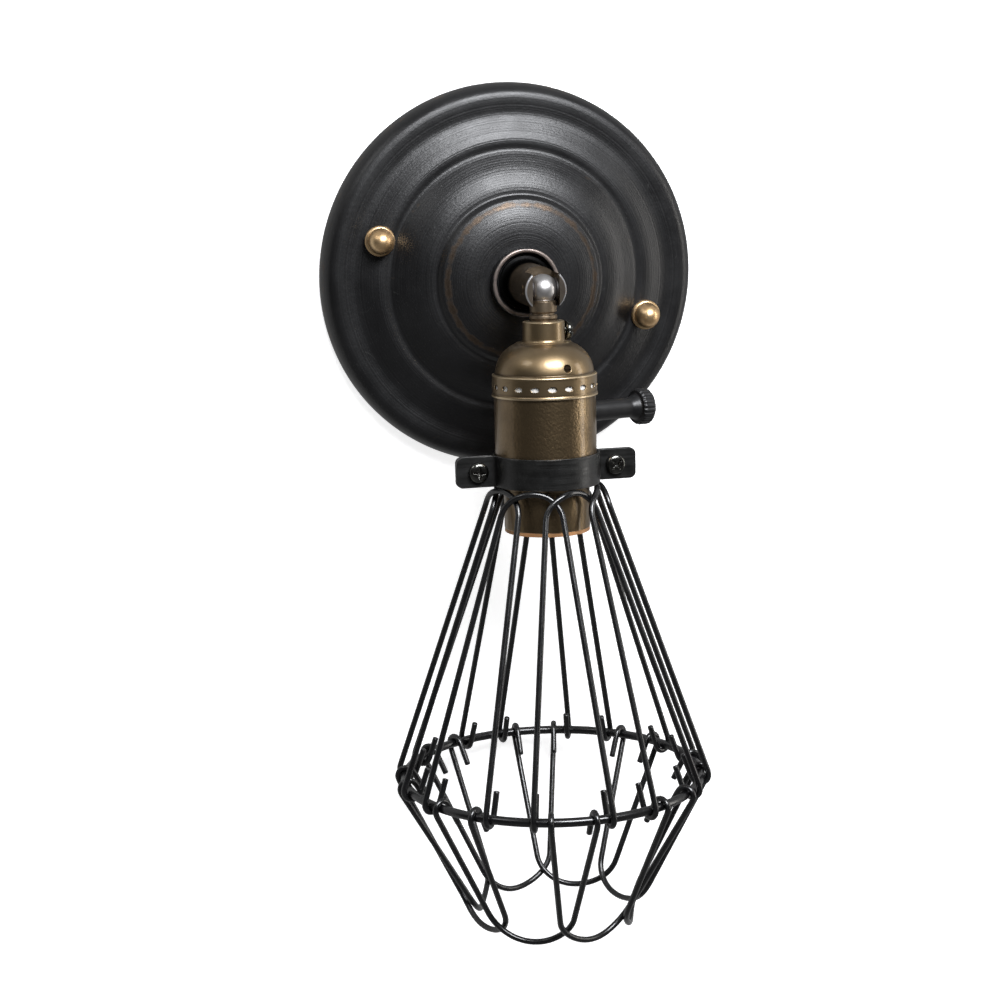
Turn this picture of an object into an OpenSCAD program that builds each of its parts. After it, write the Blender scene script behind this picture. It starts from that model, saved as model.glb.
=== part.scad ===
// Cage wall light: a stepped round canopy, a swivel, a turn-knob lampholder
// and a wire cage of hairpins and petals hooked round one ring.
// Millimetres. X to the right, Z up, the wall is the plane Y = 0 and the light
// stands out towards -Y. The origin is the centre of the canopy's back edge.

/* [Canopy] */
// Diameter of the canopy at the wall
canopy_d = 140; // [136:1:150]
// Thickness of the spun sheet
sheet_t = 1; // [0.8:0.1:1.2]
// Height of the rolled rim above the wall
rim_h = 9.5; // [8:0.5:12]
// Width of the rolled rim
rim_w = 6; // [5:0.5:7]
// Rise of the flat ring inside the rim
annulus_rise = 3; // [2:0.2:4]
// Radius where the outer step starts
outer_step_r = 46.5; // [45:0.5:47]
// Height of the outer step
outer_step_h = 3.6; // [2.4:0.2:4.4]
// Rise of the shallow dome between the steps
dome_rise = 2.2; // [1.6:0.2:4]
// Radius where the inner step starts
inner_step_r = 31; // [29:0.5:32]
// Height of the inner step
inner_step_h = 3; // [2.4:0.2:4.4]
// Rise of the crown inside the inner step
crown_rise = 3.2; // [2:0.2:4]

/* [Fixing] */
// Distance between the two ball nuts
stud_pcd = 104; // [103:0.5:105]
// Turn of the bracket, and of the ball nuts, from level
bracket_turn = 17; // [0:1:45]
// Distance between the two wall screw holes
wall_hole_pcd = 70; // [60:1:76]
// Diameter of a wall screw hole
wall_hole_d = 4.6; // [3.6:0.2:5.6]
// Diameter of the wire hole in the bracket
wire_hole_d = 14; // [10:1:16]
// Width of the bracket
bracket_w = 22; // [20:1:26]
// Diameter of the studs
stud_d = 3.9; // [3.5:0.1:4.4]
// Diameter of a ball nut at its flange
ball_nut_d = 11; // [10:0.2:12]
// Height of a ball nut
ball_nut_h = 7.8; // [7.4:0.2:10]

/* [Swivel] */
// Distance from the wall to the pivot pin
pin_out = 50.5; // [50:0.5:56]
// Angle by which the lamp leans forward at rest
hang_tilt = 2.6; // [2.4:0.2:6]
// Diameter of the swivel barrel
barrel_d = 14.8; // [14:0.2:17]
// Width of the slot in the barrel
slot_w = 9.6; // [9.4:0.1:10]
// Thickness of the tongue's knuckle
knuckle_w = 8.2; // [7.6:0.1:8.4]
// Diameter of the tongue's collar
collar_d = 9.3; // [8.6:0.1:9.3]
// Diameter of the pivot pin
pin_d = 4; // [3:0.5:4.5]
// Outer diameter of the threaded tube
nipple_d = 9.7; // [9:0.1:10]
// Bore of the threaded tube
nipple_bore = 6.4; // [5:0.2:7]
// Outer diameter of the hub collar
hub_d = 24.8; // [23:0.2:27]
// Height of the hub collar
hub_h = 4.4; // [3.6:0.2:6]

/* [Lampholder] */
// Drop from the pin to the top of the cap's neck
neck_drop = 10.9; // [10.5:0.1:12]
// Diameter of the cap's neck
neck_d = 14.7; // [14:0.1:16]
// Length of the cap's neck
neck_h = 7.3; // [6.5:0.1:9]
// Height of the cap's dome
dome_h = 10.6; // [9.5:0.1:12]
// Diameter of the cap's skirt
skirt_d = 36.8; // [36.7:0.1:38]
// Height of the cap's skirt
skirt_h = 7.9; // [7:0.1:9]
// Number of vents round the skirt
vent_count = 19; // [12:1:24]
// Diameter of the shell
shell_d = 35.6; // [35.2:0.1:35.7]
// Diameter of the shell at its mouth
mouth_d = 30.2; // [29.8:0.1:31]
// Thickness of the shell
shell_t = 0.5; // [0.4:0.05:0.6]
// Length of the shell below the skirt's top edge
shell_len = 54.4; // [52:0.5:58]
// Bore of the threaded lamp shell
lamp_bore = 26.6; // [26.4:0.1:26.8]

/* [Switch] */
// Drop from the pin to the switch stem
switch_drop = 44; // [43.5:0.1:46]
// Turn of the switch stem back towards the wall
switch_turn = 15; // [0:1:30]
// Diameter of the knob
knob_d = 13; // [11:0.2:14]
// Thickness of the knob's disc
knob_t = 5; // [4:0.2:6]
// Distance from the lampholder's axis to the knob's face
knob_reach = 42.5; // [38:0.5:46]
// Number of flutes round the knob
flute_count = 24; // [16:1:28]

/* [Clamp] */
// Drop from the skirt's bottom edge to the clamp
clamp_gap = 20.2; // [19.5:0.1:20.6]
// Height of the clamp band
clamp_h = 10.9; // [9.6:0.1:11.2]
// Thickness of the clamp band
clamp_t = 0.9; // [0.8:0.1:1.6]
// Distance between the clamp screws
ear_pitch = 49.6; // [49:0.2:54]
// Distance between the ends of the ears
ear_span = 65; // [62:0.2:70]

/* [Cage] */
// Diameter of the cage wires
wire_d = 2.1; // [1.8:0.1:2.3]
// Diameter of the ring's wire
ring_wire_d = 3.1; // [2.4:0.1:3.2]
// Diameter of the ring, along its wire
ring_d = 106.4; // [100:0.2:107]
// Drop from the pin to the ring
ring_drop = 174; // [160:1:190]
// Drop from the pin to the petals' lowest point
petal_drop = 227; // [215:1:245]
// Diameter of the circle of the petals' lowest points
petal_d = 56.2; // [48:0.2:62]
// Turn of the whole cage on the lampholder
cage_turn = -8; // [-22:1:22]
// Half the angle that a hairpin spans at the ring
hairpin_angle = 36.5; // [35.5:0.5:37]
// Half the angle that a hairpin spans where its arch starts
hairpin_top_angle = 31; // [29:0.5:35]
// Half the angle that a petal spans at the ring
petal_angle = 30.5; // [30:0.5:31.5]
// Half the angle that a petal spans where its bow starts
petal_end_angle = 27; // [26:0.5:30]
// Height of a hairpin's arch
hairpin_arch = 8.5; // [7:0.5:11]
// Height of a petal's bow
petal_arch = 10.5; // [8:0.5:13]
// Inner width of a hook, across the ring's wire
hook_w = 4.1; // [3.4:0.1:4.4]
// Length of the hooks' straight ends
hook_end = 9; // [4:0.2:10]

/* [Hidden] */
$fn = 96;

// Clearances: what touches, what turns, what is threaded, what is pressed on.
// Cutting shapes run past what they cut by `cut`.
seat = 0.05;
run = 0.06;
thread = 0.1;
press = 0.02;
cut = 1;

// Finishes
black = [0.13, 0.13, 0.14];
bronze = [0.36, 0.29, 0.20];
antique = [0.56, 0.46, 0.30];
bright_brass = [0.86, 0.66, 0.34];
nickel = [0.78, 0.78, 0.80];
zinc = [0.66, 0.67, 0.68];
fibre = [0.72, 0.42, 0.24];
dark_fibre = [0.16, 0.13, 0.11];
phenolic = [0.10, 0.09, 0.09];
earth_green = [0.15, 0.45, 0.22];

// Canopy: distances along its radius
canopy_r = canopy_d / 2;
valley_r = canopy_r - 8.5;
annulus_r = canopy_r - 10;
annulus_run = 9;
groove_r = outer_step_r + 1.1;
outer_step_run = 6;
inner_step_run = 3.5;
dome_r = outer_step_r - 7;
dome_run = 8;
crown_r = inner_step_r - 3;
hub_seat_r = hub_d / 2 + 1.6;
profile_step = 1.25;
stud_r = stud_pcd / 2;
stud_hole_r = stud_d / 2 + 0.25;

// Height of the canopy's outer face above the wall at radius r.
// inset = sheet_t gives the inner face.
function ease(t) = t <= 0 ? 0 : t >= 1 ? 1 : t * t * (3 - 2 * t);
function bump(t) = abs(t) >= 1 ? 0 : (1 + cos(180 * t)) / 2;
function rim_face(r, inset) =
  (rim_h - inset) * sqrt(max(0, 1 - pow((r - canopy_r + rim_w) / (rim_w - inset), 2)));
function crown(r) = r >= crown_r ? 0
  : crown_rise * (1 - pow(max(0, r - hub_seat_r) / (crown_r - hub_seat_r), 2));
function steps(r) =
  annulus_rise * ease((annulus_r - r) / annulus_run)
  + outer_step_h * ease((outer_step_r - r) / outer_step_run)
  + dome_rise * ease((dome_r - r) / dome_run)
  + inner_step_h * ease((inner_step_r - r) / inner_step_run)
  + crown(r);
function grooves(r) =
  0.8 * bump((r - valley_r) / 3)
  + 0.6 * bump((r - groove_r) / 2)
  + 0.4 * bump((r - inner_step_r - 0.3) / 1.6);
function canopy_h(r, inset = 0) =
  r > canopy_r - rim_w ? rim_face(r, inset) : rim_h - inset + steps(r) - grooves(r);

// Heights above the wall of what stands on the canopy
crown_h = canopy_h(0);
ball_nut_r = ball_nut_d / 2;
nut_ball_r = ball_nut_r - 0.9;
nut_ball_h = 2.4;
nut_seat_h = seat
  + max([for (r = [stud_r - ball_nut_r : 0.5 : stud_r + ball_nut_r]) canopy_h(r)]);
hub_floor_h = crown_h + 1.4;
hub_bead = 0.9;
nipple_r = nipple_d / 2;
nipple_hole_r = nipple_r + 0.3;
washer_t = 0.8;
nipple_nut_t = 2.8;
nipple_nut_flats = 14;
nipple_back_h = crown_h - sheet_t - washer_t - nipple_nut_t - 1.5;
nipple_front_h = hub_floor_h + 9;

// Bracket: a channel with its two flanges on the wall
bracket_t = 1.4;
web_h = 3.8;
bracket_len = stud_pcd + 14;
bracket_front = web_h + bracket_t;
stud_head_t = 2.2;
stud_head_r = stud_d / 2 + 1.7;
nut_bore_depth = 6.1;
stud_end_h = nut_seat_h + nut_bore_depth - 1;
earth_x = wall_hole_pcd / 2 - 10;
earth_y = 3.5;
earth_r = 1.7;
earth_head_r = 3.4;
earth_head_t = 2.2;

// Swivel
knuckle_r = 5.2;
slot_floor_h = pin_out - knuckle_r - 0.5;
barrel_end_h = pin_out + knuckle_r - 0.4;
barrel_r = barrel_d / 2;
swivel_base_r = hub_d / 2 - 2.9;
flare_h = 2.8;
pin_half = sqrt(barrel_r * barrel_r - pin_d * pin_d / 4);
pin_head_t = 0.4;
friction_t = (slot_w - knuckle_w) / 2 - 2 * run;
collar_r = collar_d / 2;
collar_top = 3.6;
friction_r = collar_top + 0.5 - thread;
collar_end = neck_drop - 2.7;
stub_end = neck_drop + 13;
wire_way_r = 2.6;

// Lampholder: drops below the pin, along the lampholder's own axis
neck_r = neck_d / 2;
cap_t = 0.5;
shoulder_r = neck_r + 2.65;
shoulder_drop = neck_drop + neck_h;
skirt_drop = shoulder_drop + dome_h;
skirt_end = skirt_drop + skirt_h;
skirt_r = skirt_d / 2;
crease_r = skirt_r - 1.2;
dome_centre_r = neck_r - 2.3;
dome_b = (dome_h - 0.4) / cos(asin((shoulder_r - dome_centre_r) / (crease_r - dome_centre_r)));
vent_w = 2.9;
vent_h = 1.7;
neck_screw_turn = 8;
neck_screw_drop = neck_drop + neck_h / 2;
neck_screw_r = 1.9;
neck_head_r = 3.3;
neck_head_t = 3;
cap_screw_turn = -77;
cap_screw_drop = skirt_drop - 2.2;
cap_screw_r = 1.3;
shell_r = shell_d / 2;
mouth_r = mouth_d / 2;
shell_top = skirt_drop + 4.4;
shell_end = skirt_drop + shell_len;
clamp_top = skirt_end + clamp_gap;
clamp_end = clamp_top + clamp_h;
taper_end = clamp_end + 0.6;
taper_top = taper_end - 2.6;
liner_t = 0.5;
liner_proud = 0.9;
block_r = shell_r - shell_t - liner_t - 3 * seat;
block_top = shell_top + 4;
block_end = taper_top - 7;
flat_y = block_r * 0.62;
terminal_drop = block_top + 12;
terminal_r = 1.6;
terminal_len = 5;
terminal_head_t = 2;
lamp_shell_t = 0.4;
contact_hole_r = 6;
contact_w = 5;
contact_rise = 3.4;
foot_h = contact_rise + 0.4;
foot_inset = 0.6;
lamp_shell_end = shell_end - 0.8;

// Switch
stem_r = 1.6;
shank_r = 2.75;
shank_hole_r = shank_r + 0.45;
knob_inner = knob_reach - knob_t;
stem_start = 3;
stem_end = knob_inner + 1;
shank_start = shell_r - shell_t - liner_t - 1.4;
cam_r = 5.6;
cam_start = stem_start;
cam_t = 5;
cam_half = cam_r * 0.72;
flute_r = 0.5;

// Clamp
band_in = shell_r + seat;
band_out = band_in + clamp_t;
ear_gap = 0.35;
ear_drop = clamp_top + clamp_h / 2;
ear_corner = 2.2;
clamp_screw_r = 1.9;
clamp_screw_end = 1.6;
clamp_head_r = 3.5;
clamp_head_t = 2.3;
clamp_head_turn = 20;
clamp_nut_t = 3;
clamp_nut_flats = 6.8;
clamp_stack = ear_gap + clamp_t + seat;

// Cage
loops = 8;
wire_r = wire_d / 2;
ring_r = ring_d / 2;
hook_r = hook_w / 2 + wire_r;
hook_slack = hook_r - wire_r - ring_wire_d / 2 - seat;
hairpin_top_r = (band_in + band_out) / 2;
hairpin_top = clamp_end + wire_r + seat;
cross_over = wire_r + 0.2;
wire_sides = 8;

// ---- places ----

// Local Z becomes the distance out from the wall
module from_wall() rotate([90, 0, 0]) children();

// Local X and Y become the bracket's own, and Z the distance from the wall
module on_bracket() from_wall() rotate([0, 0, -bracket_turn]) children();

// The lampholder's frame: the pin is its origin and -Z runs down its axis
module in_lamp() translate([0, -pin_out, 0]) rotate([-hang_tilt, 0, 0]) children();

// Local Z points away from the lampholder's axis at the given drop and turn
module outward(turn, drop)
  translate([0, 0, -drop]) rotate([0, 0, turn]) rotate([0, 90, 0]) children();

// ---- shapes ----

// A piece turned about the lampholder's axis from [radius, drop] points
module turned(points) rotate_extrude() polygon([for (p = points) [p[0], -p[1]]]);

// A piece turned about the wall's axis from [radius, height] points
module spun(points) from_wall() rotate_extrude() polygon(points);

// Points of an elliptic arc, as [centre + a * sin, centre - b * cos]
function arc(centre, a, b, from, to, count) = [
  for (i = [0 : count])
    let (u = from + (to - from) * i / count)
      [centre[0] + a * sin(u), centre[1] - b * cos(u)]
];

// A tube standing on Z
module tube(outer, inner, height) difference() {
  cylinder(r = outer, h = height);
  translate([0, 0, -cut]) cylinder(r = inner, h = height + 2 * cut);
}

// A hexagon nut across its flats, with a round hole
module hex_nut(flats, hole, height) difference() {
  cylinder(d = flats / cos(30), h = height, $fn = 6);
  translate([0, 0, -cut]) cylinder(r = hole, h = height + 2 * cut);
}

// A pan head with a cross recess, its seat at Z = 0
module pan_head(r, height) difference() {
  rotate_extrude() polygon(concat([[0, 0], [r, 0], [r, height * 0.45]], [
    for (u = [15 : 15 : 90]) [r * cos(u) * 0.72 + r * 0.28 * (90 - u) / 90,
                              height * (0.45 + 0.55 * sin(u))]
  ], [[0, height]]));
  for (turn = [0, 90]) rotate([0, 0, turn])
    translate([-r * 0.55, -r * 0.12, height * 0.35]) cube([r * 1.1, r * 0.24, height]);
}

// ---- swept wire ----

function unit(v) = v / norm(v);
function heading(p, i) =
  i == 0 ? unit(p[1] - p[0]) :
  i == len(p) - 1 ? unit(p[i] - p[i - 1]) :
  unit(unit(p[i + 1] - p[i]) + unit(p[i] - p[i - 1]));
function across(n, t) = unit(n - (n * t) * t);
function carried(p, first) = [
  for (i = 0, n = across(first, heading(p, 0)); i < len(p);
       i = i + 1, n = i < len(p) ? across(n, heading(p, i)) : n) n
];
function ring_points(c, t, n, r, sides) = [
  for (k = [0 : sides - 1])
    let (a = 360 * (k + 0.5) / sides)
      c + r * (cos(a) * n + sin(a) * cross(t, n))
];

// A round wire of radius r along the points, its first normal near `first`
module wire(points, r, first, sides = wire_sides) {
  normals = carried(points, first);
  last = len(points) - 1;
  corners = [
    for (i = [0 : last])
      each ring_points(points[i], heading(points, i), normals[i], r, sides)
  ];
  walls = [
    for (i = [0 : last - 1], k = [0 : sides - 1])
      let (a = i * sides + k, b = i * sides + (k + 1) % sides)
        each [[a, a + sides, b], [b, a + sides, b + sides]]
  ];
  start = [for (k = [1 : sides - 2]) [0, k, k + 1]];
  finish = [for (k = [1 : sides - 2]) [last * sides, last * sides + k + 1, last * sides + k]];
  polyhedron(points = corners, faces = concat(walls, start, finish), convexity = 8);
}

// A loop of the cage: a hook round the ring, a leg, an arch, a leg, a hook.
// way is -1 for a loop above the ring and 1 for one below it. half is half its
// angle at the ring, and far_half where the arch starts. The hooks are wider
// than the ring's wire, which bears on the bend of each.
function lean(far_r, far_drop) =
  let (a = ring_r - far_r, d = abs(far_drop - ring_drop))
    atan2(a, d) + asin(hook_r / norm([a, d]));
function leg_r(drop, way, tilt) =
  ring_r + hook_r * cos(tilt)
  - way * (drop - ring_drop - way * hook_r * sin(tilt)) * tan(tilt);
function place(r, turn, drop) = [r * cos(turn), r * sin(turn), -drop];
function hook(turn, way, tilt) =
  let (centre_r = ring_r - hook_slack * sin(tilt),
       centre_drop = ring_drop + way * hook_slack * cos(tilt))
    concat(
      [place(centre_r - hook_r * cos(tilt) - hook_end * sin(tilt), turn,
             centre_drop - way * (hook_r * sin(tilt) - hook_end * cos(tilt)))],
      [for (u = [180 : -22.5 : 0])
        place(centre_r + hook_r * (cos(tilt) * cos(u) + sin(tilt) * sin(u)), turn,
              centre_drop + way * hook_r * (sin(tilt) * cos(u) - cos(tilt) * sin(u)))]
    );
// How far the wire stands off its cone, so that it passes over one neighbour
// and under the other
function stand_off(turn) = -cross_over * sin(turn * loops / 2);
function arch(half, way, tilt, far_drop, height) = [
  for (u = [-90 : 11.25 : 90])
    let (turn = half * sin(u), drop = far_drop - way * height * (1 - cos(u)))
      place(leg_r(drop, way, tilt) + stand_off(turn), turn, drop)
];
function backwards(list) = [for (i = [len(list) - 1 : -1 : 0]) list[i]];
function loop(half, far_half, way, far_r, far_drop, height) =
  let (tilt = lean(far_r, far_drop))
    concat(hook(-half, way, tilt), arch(far_half, way, tilt, far_drop, height),
           backwards(hook(half, way, tilt)));

module cage_loop(index, half, far_half, way, far_r, far_drop, height)
  color(black) in_lamp() rotate([0, 0, cage_turn + (index - 0.5) * 360 / loops])
    wire(loop(half, far_half, way, far_r, far_drop, height), wire_r, [sin(half), cos(half), 0]);

module hairpin(index)
  cage_loop(index, hairpin_angle, hairpin_top_angle, -1, hairpin_top_r, hairpin_top, hairpin_arch);
module petal(index)
  cage_loop(index, petal_angle, petal_end_angle, 1, petal_d / 2, petal_drop, petal_arch);

// ---- canopy and what fixes it ----

module canopy() color(black) difference() {
  spun(concat(
    [for (u = [0 : 9 : 81]) [canopy_r - rim_w + rim_w * cos(u), rim_h * sin(u)]],
    [for (r = [canopy_r - rim_w : -profile_step : 0.1]) [r, canopy_h(r)]],
    [[0, crown_h], [0, crown_h - sheet_t]],
    backwards([for (r = [canopy_r - rim_w : -profile_step : 0.1]) [r, canopy_h(r, sheet_t)]]),
    [for (u = [81 : -9 : 0])
      [canopy_r - rim_w + (rim_w - sheet_t) * cos(u), (rim_h - sheet_t) * sin(u)]]
  ));
  from_wall() cylinder(r = nipple_hole_r, h = crown_h + cut);
  on_bracket() for (side = [-1, 1])
    translate([side * stud_r, 0, 0]) cylinder(r = stud_hole_r, h = crown_h);
}

module mounting_bracket() color(zinc) on_bracket() difference() {
  union() {
    translate([-bracket_len / 2, -bracket_w / 2, web_h]) cube([bracket_len, bracket_w, bracket_t]);
    for (side = [0, 1]) mirror([0, side, 0])
      translate([-bracket_len / 2, bracket_w / 2 - bracket_t, 0])
        cube([bracket_len, bracket_t, bracket_front]);
  }
  cylinder(d = wire_hole_d, h = bracket_front + cut);
  for (side = [-1, 1]) {
    translate([side * wall_hole_pcd / 2, 0, 0]) cylinder(d = wall_hole_d, h = bracket_front + cut);
    translate([side * stud_r, 0, 0]) cylinder(r = stud_d / 2 + seat, h = bracket_front + cut);
  }
  translate([earth_x, earth_y, 0]) cylinder(r = earth_r + seat, h = bracket_front + cut);
}

module earth_screw() color(earth_green) on_bracket() translate([earth_x, earth_y, 0]) {
  translate([0, 0, bracket_front + seat]) pan_head(earth_head_r, earth_head_t);
  translate([0, 0, web_h / 2]) cylinder(r = earth_r, h = bracket_front - web_h / 2 + 0.4);
}

module bracket_studs() color(zinc) on_bracket() for (side = [-1, 1])
  translate([side * stud_r, 0, 0]) {
    translate([0, 0, web_h - seat - stud_head_t]) cylinder(r = stud_head_r, h = stud_head_t);
    translate([0, 0, web_h - cut]) cylinder(d = stud_d, h = stud_end_h - web_h + cut);
  }

module ball_nuts() color(bright_brass) on_bracket() for (side = [-1, 1])
  translate([side * stud_r, 0, nut_seat_h]) difference() {
    rotate_extrude() polygon(concat(
      [[0, 0], [ball_nut_r - 0.3, 0], [ball_nut_r, 0.4], [ball_nut_r, 1.1],
       [ball_nut_r - 0.4, 1.6], [ball_nut_r - 1.1, 1.8]],
      [for (u = [0 : 9 : 90])
        [nut_ball_r * cos(u), nut_ball_h + (ball_nut_h - nut_ball_h) * sin(u)]]
    ));
    translate([0, 0, -cut]) cylinder(r = stud_d / 2 + seat, h = nut_bore_depth + cut);
  }

module nipple() color(zinc) from_wall() translate([0, 0, nipple_back_h])
  tube(nipple_r, nipple_bore / 2, nipple_front_h - nipple_back_h);

module nipple_nut() color(zinc) from_wall()
  translate([0, 0, crown_h - sheet_t - washer_t - nipple_nut_t - 2 * seat])
    hex_nut(nipple_nut_flats, nipple_r + seat, nipple_nut_t);

module lock_washer() color(zinc) from_wall()
  translate([0, 0, crown_h - sheet_t - washer_t - seat]) difference() {
    tube(nipple_r + 3.6, nipple_r + thread, washer_t);
    for (turn = [0 : 30 : 330]) rotate([0, 0, turn])
      translate([nipple_r + 2.2, -0.5, -cut]) cube([3, 1, washer_t + 2 * cut]);
  }

// A shallow cup with a beaded lip, in which the swivel sits
module hub_collar() color(black) spun(concat(
  [[nipple_hole_r, crown_h + seat], [hub_d / 2 - 0.3, crown_h + seat],
   [hub_d / 2, crown_h + 0.4]],
  [for (u = [0 : 22.5 : 180])
    [hub_d / 2 - hub_bead * (1 - cos(u)), crown_h + hub_h - hub_bead * (1 - sin(u))]],
  [[hub_d / 2 - 2, crown_h + 1.9], [hub_d / 2 - 2.5, hub_floor_h], [nipple_hole_r, hub_floor_h]]
));

// ---- swivel ----

module swivel_body() color(bronze) difference() {
  spun(concat(
    [[0, hub_floor_h + seat], [swivel_base_r, hub_floor_h + seat],
     [swivel_base_r, hub_floor_h + 1.4]],
    arc([swivel_base_r, hub_floor_h + 1.4 + flare_h], barrel_r - swivel_base_r, flare_h, 0, 90, 6),
    [[barrel_r, barrel_end_h - 0.7], [barrel_r - 0.25, barrel_end_h - 0.15],
     [barrel_r - 0.8, barrel_end_h], [0, barrel_end_h]]
  ));
  from_wall() {
    translate([0, 0, hub_floor_h - cut])
      cylinder(r = nipple_r + thread, h = nipple_front_h - hub_floor_h + cut + 0.4);
    translate([0, 0, hub_floor_h]) cylinder(r = nipple_bore / 2, h = pin_out - hub_floor_h);
    translate([-slot_w / 2, -barrel_d, slot_floor_h]) cube([slot_w, 2 * barrel_d, barrel_end_h]);
    translate([-barrel_d, 0, pin_out]) rotate([0, 90, 0])
      cylinder(r = pin_d / 2 + seat, h = 2 * barrel_d);
  }
}

module pivot_pin() color(nickel) translate([0, -pin_out, 0]) rotate([0, 90, 0]) {
  translate([0, 0, -pin_half]) cylinder(d = pin_d, h = 2 * pin_half);
  for (side = [0, 1]) mirror([0, 0, side])
    translate([0, 0, pin_half - 0.1])
      cylinder(r1 = pin_d / 2, r2 = pin_d / 2 - pin_head_t, h = pin_head_t + 0.1);
}

module friction_washers() color(dark_fibre) translate([0, -pin_out, 0]) for (side = [0, 1])
  mirror([side, 0, 0]) rotate([0, 90, 0])
    translate([0, 0, knuckle_w / 2 + run]) tube(friction_r, pin_d / 2 + thread, friction_t);

// A flat-sided knuckle on the pin, a collar and a threaded stub, with a way
// for the wires from the back of the knuckle to the stub's end
module swivel_tongue() color(bronze) in_lamp() difference() {
  union() {
    intersection() {
      union() {
        sphere(r = knuckle_r);
        turned([[0, 1], [collar_r - 0.9, 1], [collar_r - 0.9, collar_top],
                [collar_r, collar_top + 0.7], [0, collar_top + 0.7]]);
      }
      translate([-knuckle_w / 2, -knuckle_r, -collar_top - 0.7])
        cube([knuckle_w, 2 * knuckle_r, 2 * knuckle_r]);
    }
    turned([[0, collar_top + 0.5], [collar_r - 0.1, collar_top + 0.5],
            [collar_r, collar_top + 1], [collar_r, collar_end - 0.5],
            [collar_r - 0.7, collar_end], [collar_r - 0.7, collar_end + 0.4],
            [collar_r + 0.1, collar_end + 0.7], [collar_r + 0.2, neck_drop - 0.9],
            [collar_r - 0.3, neck_drop - 0.3], [nipple_r, neck_drop - 0.3],
            [nipple_r, stub_end - 0.5], [nipple_r - 0.5, stub_end], [0, stub_end]]);
  }
  rotate([0, 90, 0]) translate([0, 0, -barrel_d]) cylinder(r = pin_d / 2 + run, h = 2 * barrel_d);
  translate([0, 0, -stub_end - cut]) cylinder(r = wire_way_r, h = stub_end - collar_top - 1);
  translate([0, 0, -collar_top - 2.4]) rotate([-50, 0, 0]) cylinder(r = wire_way_r - 1, h = 8);
}

// ---- lampholder ----

// The dome's curve from the radius start_r out to the crease, where it is
// level with the skirt's top edge. inset = cap_t gives the inner face.
function dome_arc(start_r, inset = 0) =
  let (a = crease_r - dome_centre_r - inset)
    arc([dome_centre_r, skirt_drop], a, dome_b - inset, asin((start_r - dome_centre_r) / a), 90, 12);

// Neck, shoulder, dome and skirt, with a turned edge and a ring of vents
module socket_cap() color(antique) in_lamp() difference() {
  turned(concat(
    [[nipple_r + thread, neck_drop], [neck_r - 0.5, neck_drop], [neck_r, neck_drop + 0.5],
     [neck_r, shoulder_drop - 0.8], [neck_r + 0.35, shoulder_drop - 0.2],
     [shoulder_r - 0.4, shoulder_drop], [shoulder_r, shoulder_drop + 0.3]],
    dome_arc(shoulder_r + 0.05),
    [[crease_r + 0.6, skirt_drop + 0.1], [skirt_r - 0.35, skirt_drop + 0.35],
     [skirt_r - 0.1, skirt_drop + 0.9], [skirt_r - 0.1, skirt_end - 1.1],
     [skirt_r + 0.15, skirt_end - 0.7], [skirt_r + 0.15, skirt_end - 0.2],
     [skirt_r - 0.1, skirt_end], [skirt_r - cap_t, skirt_end], [skirt_r - cap_t, skirt_drop + 1]],
    backwards(dome_arc(shoulder_r - 0.3, cap_t)),
    [[nipple_r + 1.6, shoulder_drop + 1.3], [nipple_r + 1.6, shoulder_drop + 3.4],
     [nipple_r + thread, shoulder_drop + 3.4]]
  ));
  for (k = [0 : vent_count - 1]) outward(k * 360 / vent_count - 2, skirt_drop + skirt_h * 0.53)
    translate([-vent_h / 2, -vent_w / 2, skirt_r - 2]) cube([vent_h, vent_w, 3]);
  outward(neck_screw_turn, neck_screw_drop) cylinder(r = neck_screw_r + seat, h = neck_r + cut);
  outward(cap_screw_turn, cap_screw_drop) cylinder(r = cap_screw_r + 0.2, h = skirt_r + cut);
}

// The slotted thumb screw that locks the cap on the swivel's stub
module neck_screw() color(black) in_lamp() outward(neck_screw_turn, neck_screw_drop) difference() {
  union() {
    translate([0, 0, nipple_r + seat]) cylinder(r = neck_screw_r, h = neck_r - nipple_r + 1);
    translate([0, 0, neck_r + 0.3]) rotate_extrude()
      polygon([[0, 0], [neck_head_r - 0.5, 0], [neck_head_r, 0.5],
               [neck_head_r, neck_head_t - 0.7], [neck_head_r - 0.4, neck_head_t],
               [0, neck_head_t]]);
  }
  translate([-0.5, -neck_r, neck_r + neck_head_t - 0.9]) cube([1, 2 * neck_r, 2]);
}

module cap_screw() color(bronze) in_lamp() outward(cap_screw_turn, cap_screw_drop) difference() {
  translate([0, 0, crease_r - 5]) cylinder(r = cap_screw_r, h = 4.4);
  translate([-0.25, -2, crease_r - 1.1]) cube([0.5, 4, 1]);
}

module socket_shell() color(antique) in_lamp() difference() {
  turned([
    [shell_r, shell_top], [shell_r, taper_top], [mouth_r, taper_end], [mouth_r, shell_end],
    [mouth_r - shell_t, shell_end], [mouth_r - shell_t, taper_end + 0.15],
    [shell_r - shell_t, taper_top + 0.15], [shell_r - shell_t, shell_top]
  ]);
  outward(switch_turn, switch_drop) cylinder(r = shank_hole_r, h = shell_r + cut);
}

module shell_liner() color(fibre) in_lamp() difference() {
  liner_r = shell_r - shell_t - seat;
  end_r = mouth_r - shell_t - seat;
  turned([
    [liner_r, block_top - 2], [liner_r, taper_top], [end_r, taper_end - 0.1],
    [end_r, shell_end + seat], [mouth_r - 0.1, shell_end + seat],
    [mouth_r - 0.1, shell_end + liner_proud], [end_r - liner_t, shell_end + liner_proud],
    [end_r - liner_t, taper_end + 0.05], [liner_r - liner_t, taper_top + 0.15],
    [liner_r - liner_t, block_top - 2]
  ]);
  outward(switch_turn, switch_drop) cylinder(r = shank_hole_r, h = shell_r + cut);
}

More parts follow.
